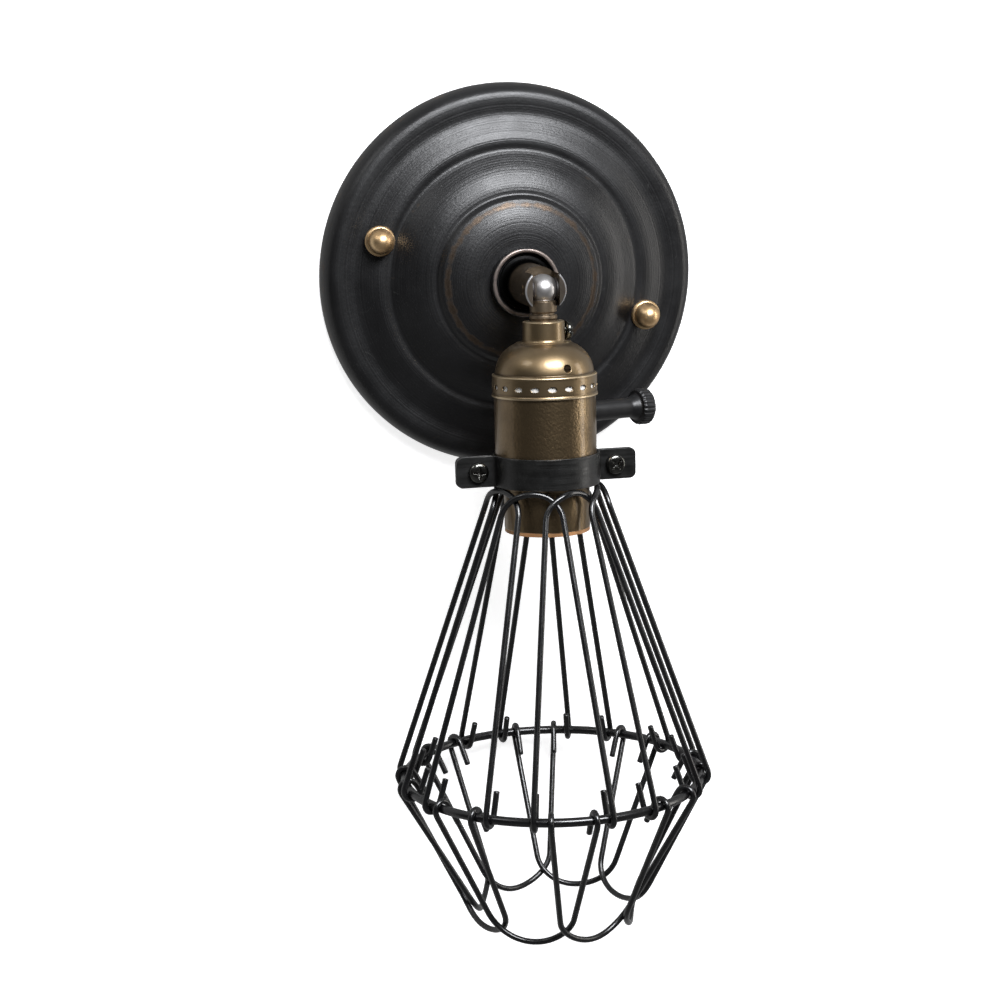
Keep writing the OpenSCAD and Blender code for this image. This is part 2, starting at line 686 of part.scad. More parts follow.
// The moulded block that carries the contacts and the switch
module socket_block() color(phenolic) in_lamp() difference() {
  translate([0, 0, -block_end]) cylinder(r = block_r, h = block_end - block_top);
  for (side = [0, 1]) rotate([0, 0, switch_turn]) mirror([0, side, 0])
    translate([-block_r, flat_y, -block_end + 2]) cube([2 * block_r, block_r, block_end - block_top]);
  outward(switch_turn, switch_drop) {
    cylinder(r = stem_r + run, h = block_r + cut);
    translate([0, 0, cam_start - 0.4]) cylinder(r = cam_r + 0.5, h = cam_t + 0.8);
    translate([0, 0, shank_start - 0.6]) cylinder(r = shank_hole_r, h = block_r);
  }
  rotate([0, 0, switch_turn]) for (side = [-1, 1]) translate([0, side * flat_y, -terminal_drop])
    rotate([-side * 90, 0, 0])
      translate([0, 0, -terminal_len - cut]) cylinder(r = terminal_r + seat, h = terminal_len + 2 * cut);
}

module terminal_screws() color(bright_brass) in_lamp() rotate([0, 0, switch_turn])
  for (side = [-1, 1]) translate([0, side * (flat_y + seat), -terminal_drop])
    rotate([-side * 90, 0, 0]) {
      pan_head(2 * terminal_r, terminal_head_t);
      translate([0, 0, -terminal_len]) cylinder(r = terminal_r, h = terminal_len + 0.5);
    }

// The cup that takes the lamp's thread, on a foot as deep as the contact rises
module lamp_shell() color(bright_brass) in_lamp() {
  bore_r = lamp_bore / 2;
  foot = block_end + seat;
  turned([
    [contact_hole_r, foot], [bore_r + lamp_shell_t - foot_inset, foot],
    [bore_r + lamp_shell_t, foot + foot_h], [bore_r + lamp_shell_t, lamp_shell_end],
    [bore_r, lamp_shell_end], [bore_r, foot + foot_h],
    [bore_r - foot_inset, foot + lamp_shell_t], [contact_hole_r, foot + lamp_shell_t]
  ]);
}

// A leaf that rises from the block to press on the lamp's tip
module centre_contact() color(bright_brass) in_lamp() rotate([0, 0, switch_turn])
  translate([-contact_w / 2, 0, -block_end - seat]) rotate([90, 0, 90]) linear_extrude(contact_w)
    polygon([[-5.4, 0], [-5.4, -0.5], [-2.4, -0.5], [0.6, 0.2 - contact_rise],
             [2.6, -contact_rise], [4.6, 1 - contact_rise], [4.3, 1.4 - contact_rise],
             [2.5, 0.5 - contact_rise], [0.8, 0.7 - contact_rise], [-2.2, 0]]);

// ---- switch ----

module switch_knob() color(black) in_lamp() outward(switch_turn, switch_drop) difference() {
  union() {
    translate([0, 0, shank_start]) cylinder(r = shank_r, h = knob_inner - shank_start + 0.5);
    translate([0, 0, knob_inner - 2.4]) cylinder(r1 = shank_r, r2 = shank_r + 1.2, h = 2.6);
    translate([0, 0, knob_inner]) rotate_extrude() polygon([
      [0, 0], [knob_d / 2 - 0.8, 0], [knob_d / 2, 0.8], [knob_d / 2, knob_t - 0.8],
      [knob_d / 2 - 0.8, knob_t], [knob_d / 2 - 1.8, knob_t], [knob_d / 2 - 2.6, knob_t - 0.6],
      [0, knob_t - 0.6]
    ]);
  }
  translate([0, 0, shank_start - cut])
    cylinder(r = stem_r + press, h = stem_end - shank_start + cut);
  for (k = [0 : flute_count - 1]) rotate([0, 0, k * 360 / flute_count])
    translate([knob_d / 2 + 0.15, 0, knob_inner - cut])
      cylinder(r = flute_r, h = knob_t + 2 * cut, $fn = 16);
}

module switch_stem() color(bright_brass) in_lamp() outward(switch_turn, switch_drop)
  translate([0, 0, stem_start]) cylinder(r = stem_r, h = stem_end - stem_start - 0.3);

module switch_cam() color(phenolic) in_lamp() outward(switch_turn, switch_drop)
  translate([0, 0, cam_start]) difference() {
    intersection() {
      cylinder(r = cam_r, h = cam_t);
      translate([-cam_r, -cam_half, 0]) cube([2 * cam_r, 2 * cam_half, cam_t]);
    }
    translate([0, 0, -cut]) cylinder(r = stem_r + press, h = cam_t + 2 * cut);
  }

// ---- clamp ----

// The front half lies towards -Y; side 1 mirrors it to the back
module clamp_half(side) color(black) in_lamp() mirror([0, side, 0]) difference() {
  union() {
    turned([[band_in, clamp_top], [band_out - 0.2, clamp_top], [band_out, clamp_top + 0.2],
            [band_out, clamp_end - 0.2], [band_out - 0.2, clamp_end], [band_in, clamp_end]]);
    for (hand = [0, 1]) mirror([hand, 0, 0])
      translate([0, -ear_gap, -clamp_end]) rotate([90, 0, 0]) linear_extrude(clamp_t) ear();
  }
  translate([-ear_span, -ear_gap, -clamp_end - cut])
    cube([2 * ear_span, ear_span, clamp_h + 2 * cut]);
  for (hand = [-1, 1]) translate([hand * ear_pitch / 2, 0, -ear_drop]) rotate([90, 0, 0])
    cylinder(r = clamp_screw_r + 0.2, h = band_out);
}

module ear() {
  root = band_in + 0.2;
  translate([root, 0]) square([ear_span / 2 - ear_corner - root, clamp_h]);
  translate([root, ear_corner]) square([ear_span / 2 - root, clamp_h - 2 * ear_corner]);
  for (y = [ear_corner, clamp_h - ear_corner])
    translate([ear_span / 2 - ear_corner, y]) circle(r = ear_corner);
}

module clamp_front() clamp_half(0);
module clamp_back() clamp_half(1);

module clamp_screws() color(black) in_lamp() for (hand = [-1, 1])
  translate([hand * ear_pitch / 2, 0, -ear_drop]) rotate([90, 0, 0]) {
    translate([0, 0, clamp_stack]) rotate([0, 0, clamp_head_turn]) pan_head(clamp_head_r, clamp_head_t);
    translate([0, 0, -clamp_stack - clamp_nut_t - clamp_screw_end])
      cylinder(r = clamp_screw_r, h = 2 * clamp_stack + clamp_nut_t + clamp_screw_end + 0.2);
  }

module clamp_nuts() color(black) in_lamp() for (hand = [-1, 1])
  translate([hand * ear_pitch / 2, clamp_stack, -ear_drop]) rotate([-90, 0, 0])
    hex_nut(clamp_nut_flats, clamp_screw_r + seat, clamp_nut_t);

module cage_ring() color(black) in_lamp() translate([0, 0, -ring_drop])
  rotate_extrude() translate([ring_r, 0]) circle(d = ring_wire_d, $fn = 24);

canopy();
mounting_bracket();
earth_screw();
bracket_studs();
ball_nuts();
nipple();
nipple_nut();
lock_washer();
hub_collar();
swivel_body();
pivot_pin();
friction_washers();
swivel_tongue();
socket_cap();
neck_screw();
cap_screw();
socket_shell();
shell_liner();
socket_block();
lamp_shell();
centre_contact();
terminal_screws();
switch_knob();
switch_stem();
switch_cam();
clamp_front();
clamp_back();
clamp_screws();
clamp_nuts();
cage_ring();
hairpin(1);  // hairpin_1
hairpin(2);  // hairpin_2
hairpin(3);  // hairpin_3
hairpin(4);  // hairpin_4
hairpin(5);  // hairpin_5
hairpin(6);  // hairpin_6
hairpin(7);  // hairpin_7
hairpin(8);  // hairpin_8
petal(1);  // petal_1
petal(2);  // petal_2
petal(3);  // petal_3
petal(4);  // petal_4
petal(5);  // petal_5
petal(6);  // petal_6
petal(7);  // petal_7
petal(8);  // petal_8
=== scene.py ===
# %% [markdown]
# # A cage wall light
# The lamp hangs on a wall: a spun black canopy, a swivel, a brass lampholder
# with a turn-knob switch, and a wire cage hooked round one ring. Its CAD model
# already has every size and joint. This lesson loads that model as a fixed
# frame and dresses it: smooth surfaces worked out with numpy, finishes made
# from shader nodes, and a camera and lamps that match the photograph.

import bmesh
import bpy
import numpy as np
from mathutils import Matrix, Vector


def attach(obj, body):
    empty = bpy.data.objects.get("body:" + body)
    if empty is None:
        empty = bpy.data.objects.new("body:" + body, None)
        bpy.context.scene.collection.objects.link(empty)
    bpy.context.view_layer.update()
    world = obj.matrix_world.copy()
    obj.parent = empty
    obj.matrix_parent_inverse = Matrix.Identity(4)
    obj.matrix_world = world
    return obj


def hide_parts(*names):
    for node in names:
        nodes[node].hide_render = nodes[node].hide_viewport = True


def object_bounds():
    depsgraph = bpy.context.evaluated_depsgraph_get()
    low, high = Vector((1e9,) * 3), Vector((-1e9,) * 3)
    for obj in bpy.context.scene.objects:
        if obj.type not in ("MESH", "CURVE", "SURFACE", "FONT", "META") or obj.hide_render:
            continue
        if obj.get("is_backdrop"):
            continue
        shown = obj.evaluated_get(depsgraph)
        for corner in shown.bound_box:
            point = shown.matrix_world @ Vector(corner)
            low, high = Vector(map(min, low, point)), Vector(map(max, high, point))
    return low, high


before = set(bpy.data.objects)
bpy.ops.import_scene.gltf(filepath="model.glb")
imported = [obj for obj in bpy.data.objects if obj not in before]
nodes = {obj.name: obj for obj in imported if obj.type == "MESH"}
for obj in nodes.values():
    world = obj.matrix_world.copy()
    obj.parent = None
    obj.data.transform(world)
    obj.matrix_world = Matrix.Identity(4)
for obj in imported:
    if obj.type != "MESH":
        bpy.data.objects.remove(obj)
cad_low, cad_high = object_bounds()
print("CAD nodes:", len(nodes), "size in mm:", [round(v * 1000, 1) for v in cad_high - cad_low])

# %% [markdown]
# ## The camera
# The photograph was taken from the left and from a little above. Its camera was
# worked out from the outlines of the canopy, the lampholder and the ring, whose
# sizes the CAD model gives. The picture is 1001 pixels square, so a focal length
# in pixels becomes millimetres on a 36 mm sensor by one division.

# %% Camera
PHOTO = 1001
SENSOR = 36.0


def camera_axes(yaw, pitch, roll):
    """Unit vectors to the picture's right, down it and into it.

    Into the picture is the wall's normal turned right by yaw and down by pitch;
    the other two are then turned about it by roll.
    """
    yaw, pitch, roll = np.radians([yaw, pitch, roll])
    into = np.array([np.sin(yaw) * np.cos(pitch), np.cos(yaw) * np.cos(pitch), -np.sin(pitch)])
    level = np.array([np.cos(yaw), -np.sin(yaw), 0.0])
    steep = np.cross(into, level)
    right = np.cos(roll) * level + np.sin(roll) * steep
    down = np.cos(roll) * steep - np.sin(roll) * level
    return right, down, into


right, down, into = camera_axes(yaw=13.87, pitch=12.52, roll=0.78)
camera_data = bpy.data.cameras.new("camera")
camera_data.sensor_width = SENSOR
camera_data.lens = 1897.2 / PHOTO * SENSOR
camera_data.clip_start, camera_data.clip_end = 0.01, 20.0
camera = bpy.data.objects.new("camera", camera_data)
pose = np.eye(4)
pose[:3, :3] = np.stack([right, -down, -into], axis=1)
pose[:3, 3] = np.array([-172.15, -682.84, 70.94]) / 1000
camera.matrix_world = Matrix(pose.tolist())
bpy.context.scene.collection.objects.link(camera)
bpy.context.scene.camera = camera
bpy.context.scene.view_settings.view_transform = "Standard"
print("lens in mm:", round(camera_data.lens, 1))

# %% [markdown]
# ## Places
# The sizes below are the CAD model's own, in millimetres. Most parts are easiest
# to draw in a frame of their own: the lampholder's axis runs down from the pivot
# pin and leans 2.6 degrees forward, the canopy's axis stands out from the wall,
# and the bracket is turned 17 degrees. Each helper takes points in its own
# frame and gives them in the lamp's.

# %% Places
MM = 0.001
PIN_OUT = 50.5
LEAN = np.radians(2.6)
BRACKET_TURN = np.radians(17)


def split(points):
    """The x, y and z of an array of points, each as an array."""
    return np.moveaxis(np.asarray(points, float), -1, 0)


def in_lamp(points):
    """Lean the points about X by LEAN and carry them out to the pivot pin."""
    x, y, z = split(points)
    return np.stack([x, y * np.cos(LEAN) + z * np.sin(LEAN) - PIN_OUT,
                     z * np.cos(LEAN) - y * np.sin(LEAN)], -1)


def from_wall(points):
    """Stand the points' own Z out from the wall: (x, y, z) becomes (x, -z, y)."""
    x, y, z = split(points)
    return np.stack([x, -z, y], -1)


def on_bracket(points):
    """Turn the points by BRACKET_TURN in the plane of the wall, then stand them out."""
    x, y, z = split(points)
    c, s = np.cos(BRACKET_TURN), np.sin(BRACKET_TURN)
    return from_wall(np.stack([x * c + y * s, y * c - x * s, z], -1))


def outward(turn, drop):
    """A placer whose Z points away from the lampholder's axis, at that turn and drop."""
    turn = np.radians(turn)

    def place(points):
        x, y, z = split(points)
        return in_lamp(np.stack([z * np.cos(turn) - y * np.sin(turn),
                                 z * np.sin(turn) + y * np.cos(turn), -x - drop], -1))
    return place


def beside(placer, dx, dy=0.0, dz=0.0):
    """The same placer with its points moved first."""
    return lambda points: placer(np.asarray(points, float) + [dx, dy, dz])


# %% [markdown]
# ## Surfaces
# A turned part is a profile carried round an axis, a wire is a circle carried
# along a path, and both are grids of points: one array of positions and one of
# quads. Working out the whole grid at once is quick and keeps the formula in one
# place. A grid's quads can come out facing inwards, so each closed skin is
# turned over if the volume inside it comes out negative.

# %% Grids, profiles and pieces
def grid(rows, cols, wrap_rows=False, wrap_cols=True):
    """Quads of a lattice of rows x cols points, numbered row by row."""
    i = np.arange(rows if wrap_rows else rows - 1)[:, None]
    j = np.arange(cols if wrap_cols else cols - 1)[None, :]
    k, m = (i + 1) % rows, (j + 1) % cols
    quads = [i * cols + j, i * cols + m, k * cols + m, k * cols + j]
    return np.stack(np.broadcast_arrays(*quads), -1).reshape(-1, 4)


def inside_out(points, quads):
    """True if six times the volume inside, the sum of a.(b x c) + a.(c x d), is not positive."""
    a, b, c, d = points[quads].transpose(1, 0, 2)
    return not (a * np.cross(b, c)).sum() + (a * np.cross(c, d)).sum() > 0


def facing_out(points, quads):
    """The quads, turned over if they enclose a negative volume."""
    return quads[:, ::-1] if inside_out(points, quads) else quads


def distance_along(path):
    """The distance from the path's first point to each point, as a running sum of its steps."""
    return np.concatenate([[0], np.cumsum(np.linalg.norm(np.diff(path, axis=0), axis=1))])


def direction(path, at=None):
    """The path's unit slope at each point; at gives the distances between the points."""
    slope = np.gradient(path, axis=0) if at is None else np.gradient(path, at, axis=0)
    return slope / np.linalg.norm(slope, axis=1, keepdims=True)


def rounded(corners, radius=0.2, closed=True, steps=4):
    """A profile with its corners rounded off.

    Each corner C becomes the curve (1-t)^2 A + 2t(1-t) C + t^2 B between a point
    A on the side before it and a point B on the side after it. Radius is one
    number, or one for each corner.
    """
    c = np.asarray(corners, float)
    before, after = np.roll(c, 1, 0) - c, np.roll(c, -1, 0) - c
    size_b = np.linalg.norm(before, axis=1, keepdims=True)
    size_a = np.linalg.norm(after, axis=1, keepdims=True)
    reach = np.broadcast_to(np.asarray(radius, float), len(c))[:, None]
    reach = np.minimum(np.maximum(reach, 1e-3), 0.45 * np.minimum(size_b, size_a))
    t = np.linspace(0, 1, steps + 1)[None, :, None]
    a, b = c + before / size_b * reach, c + after / size_a * reach
    curve = (1 - t) ** 2 * a[:, None] + 2 * t * (1 - t) * c[:, None] + t ** 2 * b[:, None]
    lead = c + before / size_b * np.minimum(1.25 * reach, 0.49 * size_b)
    tail = c + after / size_a * np.minimum(1.25 * reach, 0.49 * size_a)
    curve = np.concatenate([lead[:, None], curve, tail[:, None]], 1)
    if closed:
        return curve.reshape(-1, 2)
    return np.concatenate([c[:1], curve[1:-1].reshape(-1, 2), c[-1:]])


def turned(profile, place, steps=128, ripple=None):
    """A profile of (radius, height) points carried round its axis.

    x = r cos a, y = r sin a, z = height. ripple(r, h, a) changes the radius at
    each angle. A profile that starts and ends on the axis stays open.
    """
    profile = np.asarray(profile, float)
    a = np.linspace(0, 2 * np.pi, steps, endpoint=False)[None, :]
    r, h = profile[:, :1] + 0 * a, profile[:, 1:] + 0 * a
    if ripple is not None:
        r = ripple(r, h, a)
    points = place(np.stack([r * np.cos(a), r * np.sin(a), h], -1)).reshape(-1, 3)
    is_open = profile[0, 0] < 1e-6 and profile[-1, 0] < 1e-6
    return points, facing_out(points, grid(len(profile), steps, not is_open))


def piece(name, skins, material, body, replaces=(), masks=None):
    """One Blender object from skins, which are (points in mm, quads) pairs.

    masks names point attributes and gives each one's values, skin after skin.
    Points that coincide are merged, which also closes the poles.
    """
    starts = np.cumsum([0] + [len(p) for p, _ in skins[:-1]])
    points = np.concatenate([p for p, _ in skins]) * MM
    quads = np.concatenate([q + s for (_, q), s in zip(skins, starts)])
    mesh = bpy.data.meshes.new(name)
    mesh.from_pydata(points.tolist(), [], quads.tolist())
    for label, values in (masks or {}).items():
        mesh.attributes.new(label, "FLOAT", "POINT").data.foreach_set("value", np.ravel(values))
    made = bmesh.new()
    made.from_mesh(mesh)
    bmesh.ops.remove_doubles(made, verts=made.verts, dist=2e-7)
    made.to_mesh(mesh)
    made.free()
    mesh.polygons.foreach_set("use_smooth", np.ones(len(mesh.polygons), bool))
    return dress(bpy.data.objects.new(name, mesh), material, body, replaces)


def dress(thing, material, body, replaces=()):
    """Give a new object its finish and the body it rides on, and hide the CAD nodes it stands for.
    """
    bpy.context.scene.collection.objects.link(thing)
    thing.data.materials.clear()
    thing.data.materials.append(material)
    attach(thing, body)
    if replaces:
        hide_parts(*replaces)
    return thing


# %% [markdown]
# ## Effects shared by the finishes
# Real metal and paint are never one flat colour. Four effects come back again
# and again here: a fine grain, a rubbed edge where the coat has worn through,
# short hairline scratches, and the rings that a lathe leaves. On the cap's
# crease and bottom bead and on the hub's lip the rubbed edge is also a painted
# highlight. Each is a node group with its own inputs, so a material places it
# with its own numbers. They all read Object coordinates, in metres, so a pattern
# stays put on its part.

# %% Node helpers and the shared groups
def add(tree, kind, inputs=None, **settings):
    """A new node, its settings made first and its inputs set or linked after."""
    made = tree.nodes.new("ShaderNode" + kind)
    for key, value in settings.items():
        setattr(made, key, value)
    for key, value in (inputs or {}).items():
        if isinstance(value, bpy.types.NodeSocket):
            tree.links.new(value, made.inputs[key])
        else:
            made.inputs[key].default_value = value
    return made


def effect(name, ins, outs):
    """An empty node group with named inputs (name, kind, value) and outputs (name, kind)."""
    tree = bpy.data.node_groups.new(name, "ShaderNodeTree")
    new = tree.interface.new_socket
    for label, kind, value in ins:
        socket = new(name=label, in_out="INPUT", socket_type="NodeSocket" + kind)
        if value is not None:
            socket.default_value = value
    for label, kind in outs:
        new(name=label, in_out="OUTPUT", socket_type="NodeSocket" + kind)
    entry, end = tree.nodes.new("NodeGroupInput"), tree.nodes.new("NodeGroupOutput")
    return tree, entry.outputs, end.inputs


def math(tree, operation, a, b=0.0, c=0.0, clamp=False):
    """One step of arithmetic on sockets or numbers."""
    return add(tree, "Math", {0: a, 1: b, 2: c}, operation=operation, use_clamp=clamp).outputs[0]


def ramp(tree, value, low, high, to_low=0.0, to_high=1.0):
    """value taken from the span low..high to the span to_low..to_high, clamped."""
    return add(tree, "MapRange", {"Value": value, "From Min": low, "From Max": high,
                                  "To Min": to_low, "To Max": to_high}).outputs["Result"]


grain, get, put = effect("Fine grain", [("Vector", "Vector", None), ("Scale", "Float", 900.0)],
                         [("Height", "Float"), ("Mottle", "Float")])
fine = add(grain, "TexNoise", {"Vector": get["Vector"], "Scale": get["Scale"], "Detail": 3.0})
wide = add(grain, "TexNoise", {"Vector": get["Vector"], "Detail": 4.0, "Roughness": 0.6,
                               "Scale": math(grain, "MULTIPLY", get["Scale"], 0.09)})
grain.links.new(fine.outputs["Fac"], put["Height"])
grain.links.new(ramp(grain, wide.outputs["Fac"], 0.32, 0.68), put["Mottle"])

# Rubbed edge: worn coat on most parts, and a painted highlight on the cap's crease and bottom bead
# and on the hub's lip.
worn_edge_and_highlight, get, put = effect("Worn edge and highlight", [("Vector", "Vector", None), ("Wear and highlight", "Float", 0.0),
                                          ("Scale", "Float", 260.0), ("Amount", "Float", 1.0)],
                          [("Mask", "Float")])
patch = add(worn_edge_and_highlight, "TexNoise", {"Vector": get["Vector"], "Scale": get["Scale"], "Detail": 4.0,
                                 "Roughness": 0.6})
wear_and_highlight_level = math(worn_edge_and_highlight, "SUBTRACT", math(worn_edge_and_highlight, "MULTIPLY", get["Wear and highlight"], get["Amount"]),
            ramp(worn_edge_and_highlight, patch.outputs["Fac"], 0.3, 0.7, 0.1, 0.75))
worn_edge_and_highlight.links.new(ramp(worn_edge_and_highlight, wear_and_highlight_level, -0.08, 0.3), put["Mask"])

hairline, get, put = effect("Hairlines", [("Vector", "Vector", None), ("Scale", "Float", 30.0),
                                          ("Width", "Float", 0.004)], [("Mask", "Float")])
lines = add(hairline, "TexNoise", {"Vector": get["Vector"], "Scale": get["Scale"], "Detail": 1.0,
                                   "Distortion": 0.6})
broken = add(hairline, "TexNoise", {"Vector": get["Vector"], "Detail": 2.0,
                                    "Scale": math(hairline, "MULTIPLY", get["Scale"], 4.0)})
near = math(hairline, "ABSOLUTE", math(hairline, "SUBTRACT", lines.outputs["Fac"], 0.5))
thin = math(hairline, "SUBTRACT", 1.0, math(hairline, "DIVIDE", near, get["Width"]), clamp=True)
hairline.links.new(math(hairline, "MULTIPLY", thin,
                        ramp(hairline, broken.outputs["Fac"], 0.56, 0.64)), put["Mask"])

lathe, get, put = effect("Lathe rings", [("Distance", "Float", 0.0), ("Scale", "Float", 3000.0)],
                         [("Height", "Float")])
rings = add(lathe, "TexNoise", {"W": get["Distance"], "Scale": get["Scale"], "Detail": 3.0},
            noise_dimensions="1D")
lathe.links.new(rings.outputs["Fac"], put["Height"])
print("shared effects:", [g.name for g in bpy.data.node_groups])

# %% [markdown]
# ## The finishes
# A satin black paint over bronze, antiqued brass, bright brass and nickel, black
# wire enamel and moulded plastic cover nearly all that shows. Each material has
# one Principled shader. What is the same all over is typed into the shader;
# colour, roughness and bump come from the shared effects.

# %% Finishes
def finish(name, metallic=0.0, specular=0.5, coat=0.0):
    """A material with its Principled shader and Object coordinates ready."""
    material = bpy.data.materials.new(name)
    material.use_nodes = True
    tree = material.node_tree
    shader = tree.nodes["Principled BSDF"]
    shader.inputs["Metallic"].default_value = metallic
    shader.inputs["Specular IOR Level"].default_value = specular
    shader.inputs["Coat Weight"].default_value = coat
    return material, tree, shader.inputs, add(tree, "TexCoord").outputs["Object"]


def use(tree, group, inputs):
    """A shared effect placed in a material."""
    return add(tree, "Group", inputs, node_tree=group).outputs


def attribute(tree, name):
    """A number kept at each point of a piece."""
    return add(tree, "Attribute", attribute_name=name).outputs["Fac"]


def streaks(tree, where, stretch, scale, detail):
    """Noise drawn out into streaks: the coordinates are scaled unevenly by stretch."""
    drawn = add(tree, "TexNoise", {"Scale": scale, "Detail": detail, "Vector": add(
        tree, "Mapping", {"Vector": where, "Scale": stretch}).outputs[0]})
    return drawn.outputs["Fac"]


def from_axis(tree, where, keep=(1.0, 0.0, 1.0)):
    """Distance from the axis along Y: the length of (x, 0, z)."""
    flat = add(tree, "VectorMath", {0: where, 1: keep}, operation="MULTIPLY")
    return add(tree, "VectorMath", {0: flat.outputs[0]}, operation="LENGTH").outputs["Value"]


def blend(tree, factor, a, b):
    """Colour a where factor is 0 and colour b where it is 1."""
    mixed = add(tree, "Mix", {"Factor": factor}, data_type="RGBA")
    for slot, value in ((6, a), (7, b)):
        if isinstance(value, bpy.types.NodeSocket):
            tree.links.new(value, mixed.inputs[slot])
        else:
            mixed.inputs[slot].default_value = (*value, 1.0)
    return mixed.outputs[2]


def cover(tree, sockets, colour, roughness, height, strength, distance):
    """Feed colour and roughness to the shader, and a height to its normal through Bump."""
    tree.links.new(colour, sockets["Base Color"])
    tree.links.new(roughness, sockets["Roughness"])
    made = add(tree, "Bump", {"Height": height, "Strength": strength, "Distance": distance})
    tree.links.new(made.outputs["Normal"], sockets["Normal"])


def painted(name, dark, light, rough, scale=900.0, wear_and_highlight=0.0, bare_metal_and_highlight=(0.16, 0.095, 0.05), lines=None,
              bump=0.12, rings_at=None, scratch=0.0, specular=0.6, relief=0.00006):
    """A satin coat: two close blacks mottled together, worn to the metal where rubbed; on the hub's
    lip that paler colour is also a painted highlight.
    """
    material, tree, sockets, where = finish(name, specular=specular)
    texture = use(tree, grain, {"Vector": where, "Scale": scale})
    colour = blend(tree, texture["Mottle"], dark, light)
    height = texture["Height"]
    roughness = ramp(tree, texture["Mottle"], 0.0, 1.0, rough - 0.03, rough + 0.05)
    # Where the point attribute is high the coat turns to the paler colour: worn paint, and on the
    # hub's lip a painted highlight.
    if wear_and_highlight:
        mask = use(tree, worn_edge_and_highlight, {"Vector": where, "Amount": wear_and_highlight, "Wear and highlight": attribute(tree, "wear_and_highlight")})
        colour = blend(tree, mask["Mask"], colour, bare_metal_and_highlight)
        tree.links.new(math(tree, "MULTIPLY", mask["Mask"], 0.85), sockets["Metallic"])
    if scratch:
        marks = use(tree, hairline, {"Vector": where, "Scale": scratch, "Width": 0.0025})
        marks = math(tree, "MULTIPLY", marks["Mask"], 0.5)
        colour = blend(tree, marks, colour, (0.05, 0.05, 0.048))
    if lines is not None:
        drawn = streaks(tree, where, lines, 260.0, 3.0)
        roughness = math(tree, "ADD", roughness, ramp(tree, drawn, 0.35, 0.7, -0.05, 0.12))
        height = math(tree, "ADD", height, math(tree, "MULTIPLY", drawn, 1.5))
    if rings_at is not None:
        marks = use(tree, lathe, {"Distance": from_axis(tree, where, rings_at), "Scale": 1600.0})
        height = math(tree, "ADD", height, math(tree, "MULTIPLY", marks["Height"], 1.2))
        roughness = math(tree, "ADD", roughness, ramp(tree, marks["Height"], 0.3, 0.7, -0.03, 0.03))
    cover(tree, sockets, colour, roughness, height, bump, relief)
    return material


def metal(name, dark, light, rough, scale=1200.0, wear_and_highlight=0.0, shine=None, painted_shade=None, bump=0.08,
          spread=0.05, lines=None, lacquer=0.0, relief=0.00005):
    """A bare or antiqued metal: two tones mottled together, brighter where rubbed and where a
    highlight is painted, darker where shade is painted.
    """
    material, tree, sockets, where = finish(name, metallic=1.0, coat=lacquer)
    sockets["Coat Roughness"].default_value = 0.12
    texture = use(tree, grain, {"Vector": where, "Scale": scale})
    colour = blend(tree, texture["Mottle"], dark, light)
    roughness = ramp(tree, texture["Mottle"], 0.0, 1.0, rough + spread, rough - spread)
    height = texture["Height"]
    # Brighter where the point attribute is high: worn brass, and on the cap's crease and bottom
    # bead a painted highlight.
    if wear_and_highlight:
        mask = use(tree, worn_edge_and_highlight, {"Vector": where, "Amount": wear_and_highlight, "Scale": 150.0,
                                  "Wear and highlight": attribute(tree, "wear_and_highlight")})
        colour = blend(tree, mask["Mask"], colour, shine)
    # Painted shade: the colour goes towards a dark brown where the point attribute asks, in creases
    # and where one part sits under or against another.
    if painted_shade:
        shade_amount = math(tree, "MULTIPLY", attribute(tree, "painted_shade"), painted_shade)
        colour = blend(tree, shade_amount, colour, (0.03, 0.02, 0.012))
    if lines is not None:
        drawn = streaks(tree, where, lines, 300.0, 4.0)
        roughness = math(tree, "ADD", roughness, ramp(tree, drawn, 0.35, 0.7, -0.05, 0.09))
        height = math(tree, "ADD", height, drawn)
    cover(tree, sockets, colour, roughness, height, bump, relief)
    return material


satin_blacks = (0.003, 0.003, 0.0035), (0.0048, 0.0048, 0.0054)
canopy_black = painted(
    "satin black over bronze", *satin_blacks, 0.4, scale=1000.0, wear_and_highlight=0.9, bump=0.5, scratch=70.0,
    bare_metal_and_highlight=(0.075, 0.055, 0.04), rings_at=(1.0, 0.0, 1.0), specular=0.66, relief=0.00011)
# Painted highlight: the pale colour on the hub's lip stands in for the highlight along its bead,
# along with some worn paint.
hub_black_lip_highlight = painted("black, worn and painted bright at the lip", *satin_blacks, 0.42, scale=1000.0, wear_and_highlight=1.0,
                    bare_metal_and_highlight=(0.3, 0.25, 0.225), bump=0.5)
wire_black = painted("black wire enamel", (0.004, 0.004, 0.0044), (0.007, 0.007, 0.0076), 0.25,
                     scale=1200.0, bump=0.06, specular=0.9)
clamp_black = painted(
    "black oxide", (0.0045, 0.0045, 0.0043), (0.008, 0.008, 0.0075), 0.36, scale=2400.0, wear_and_highlight=0.7,
    bare_metal_and_highlight=(0.1, 0.095, 0.09), lines=(0.25, 0.25, 6.0), bump=0.5, scratch=90.0)
screw_black = metal("black screw plating", (0.06, 0.06, 0.055), (0.2, 0.2, 0.185), 0.22,
                    scale=1800.0)
phenolic_black = painted(
    "black moulding", (0.0055, 0.0055, 0.006), (0.0085, 0.0085, 0.009), 0.42, scale=1500.0,
    bump=0.14, wear_and_highlight=0.35, bare_metal_and_highlight=(0.09, 0.09, 0.095))
cap_brass = metal(
    "antique brass, satin", (0.26, 0.187, 0.105), (0.33, 0.243, 0.14), 0.4, scale=1500.0,
    wear_and_highlight=1.3, shine=(0.72, 0.58, 0.38), painted_shade=0.7, spread=0.02, lacquer=0.4)
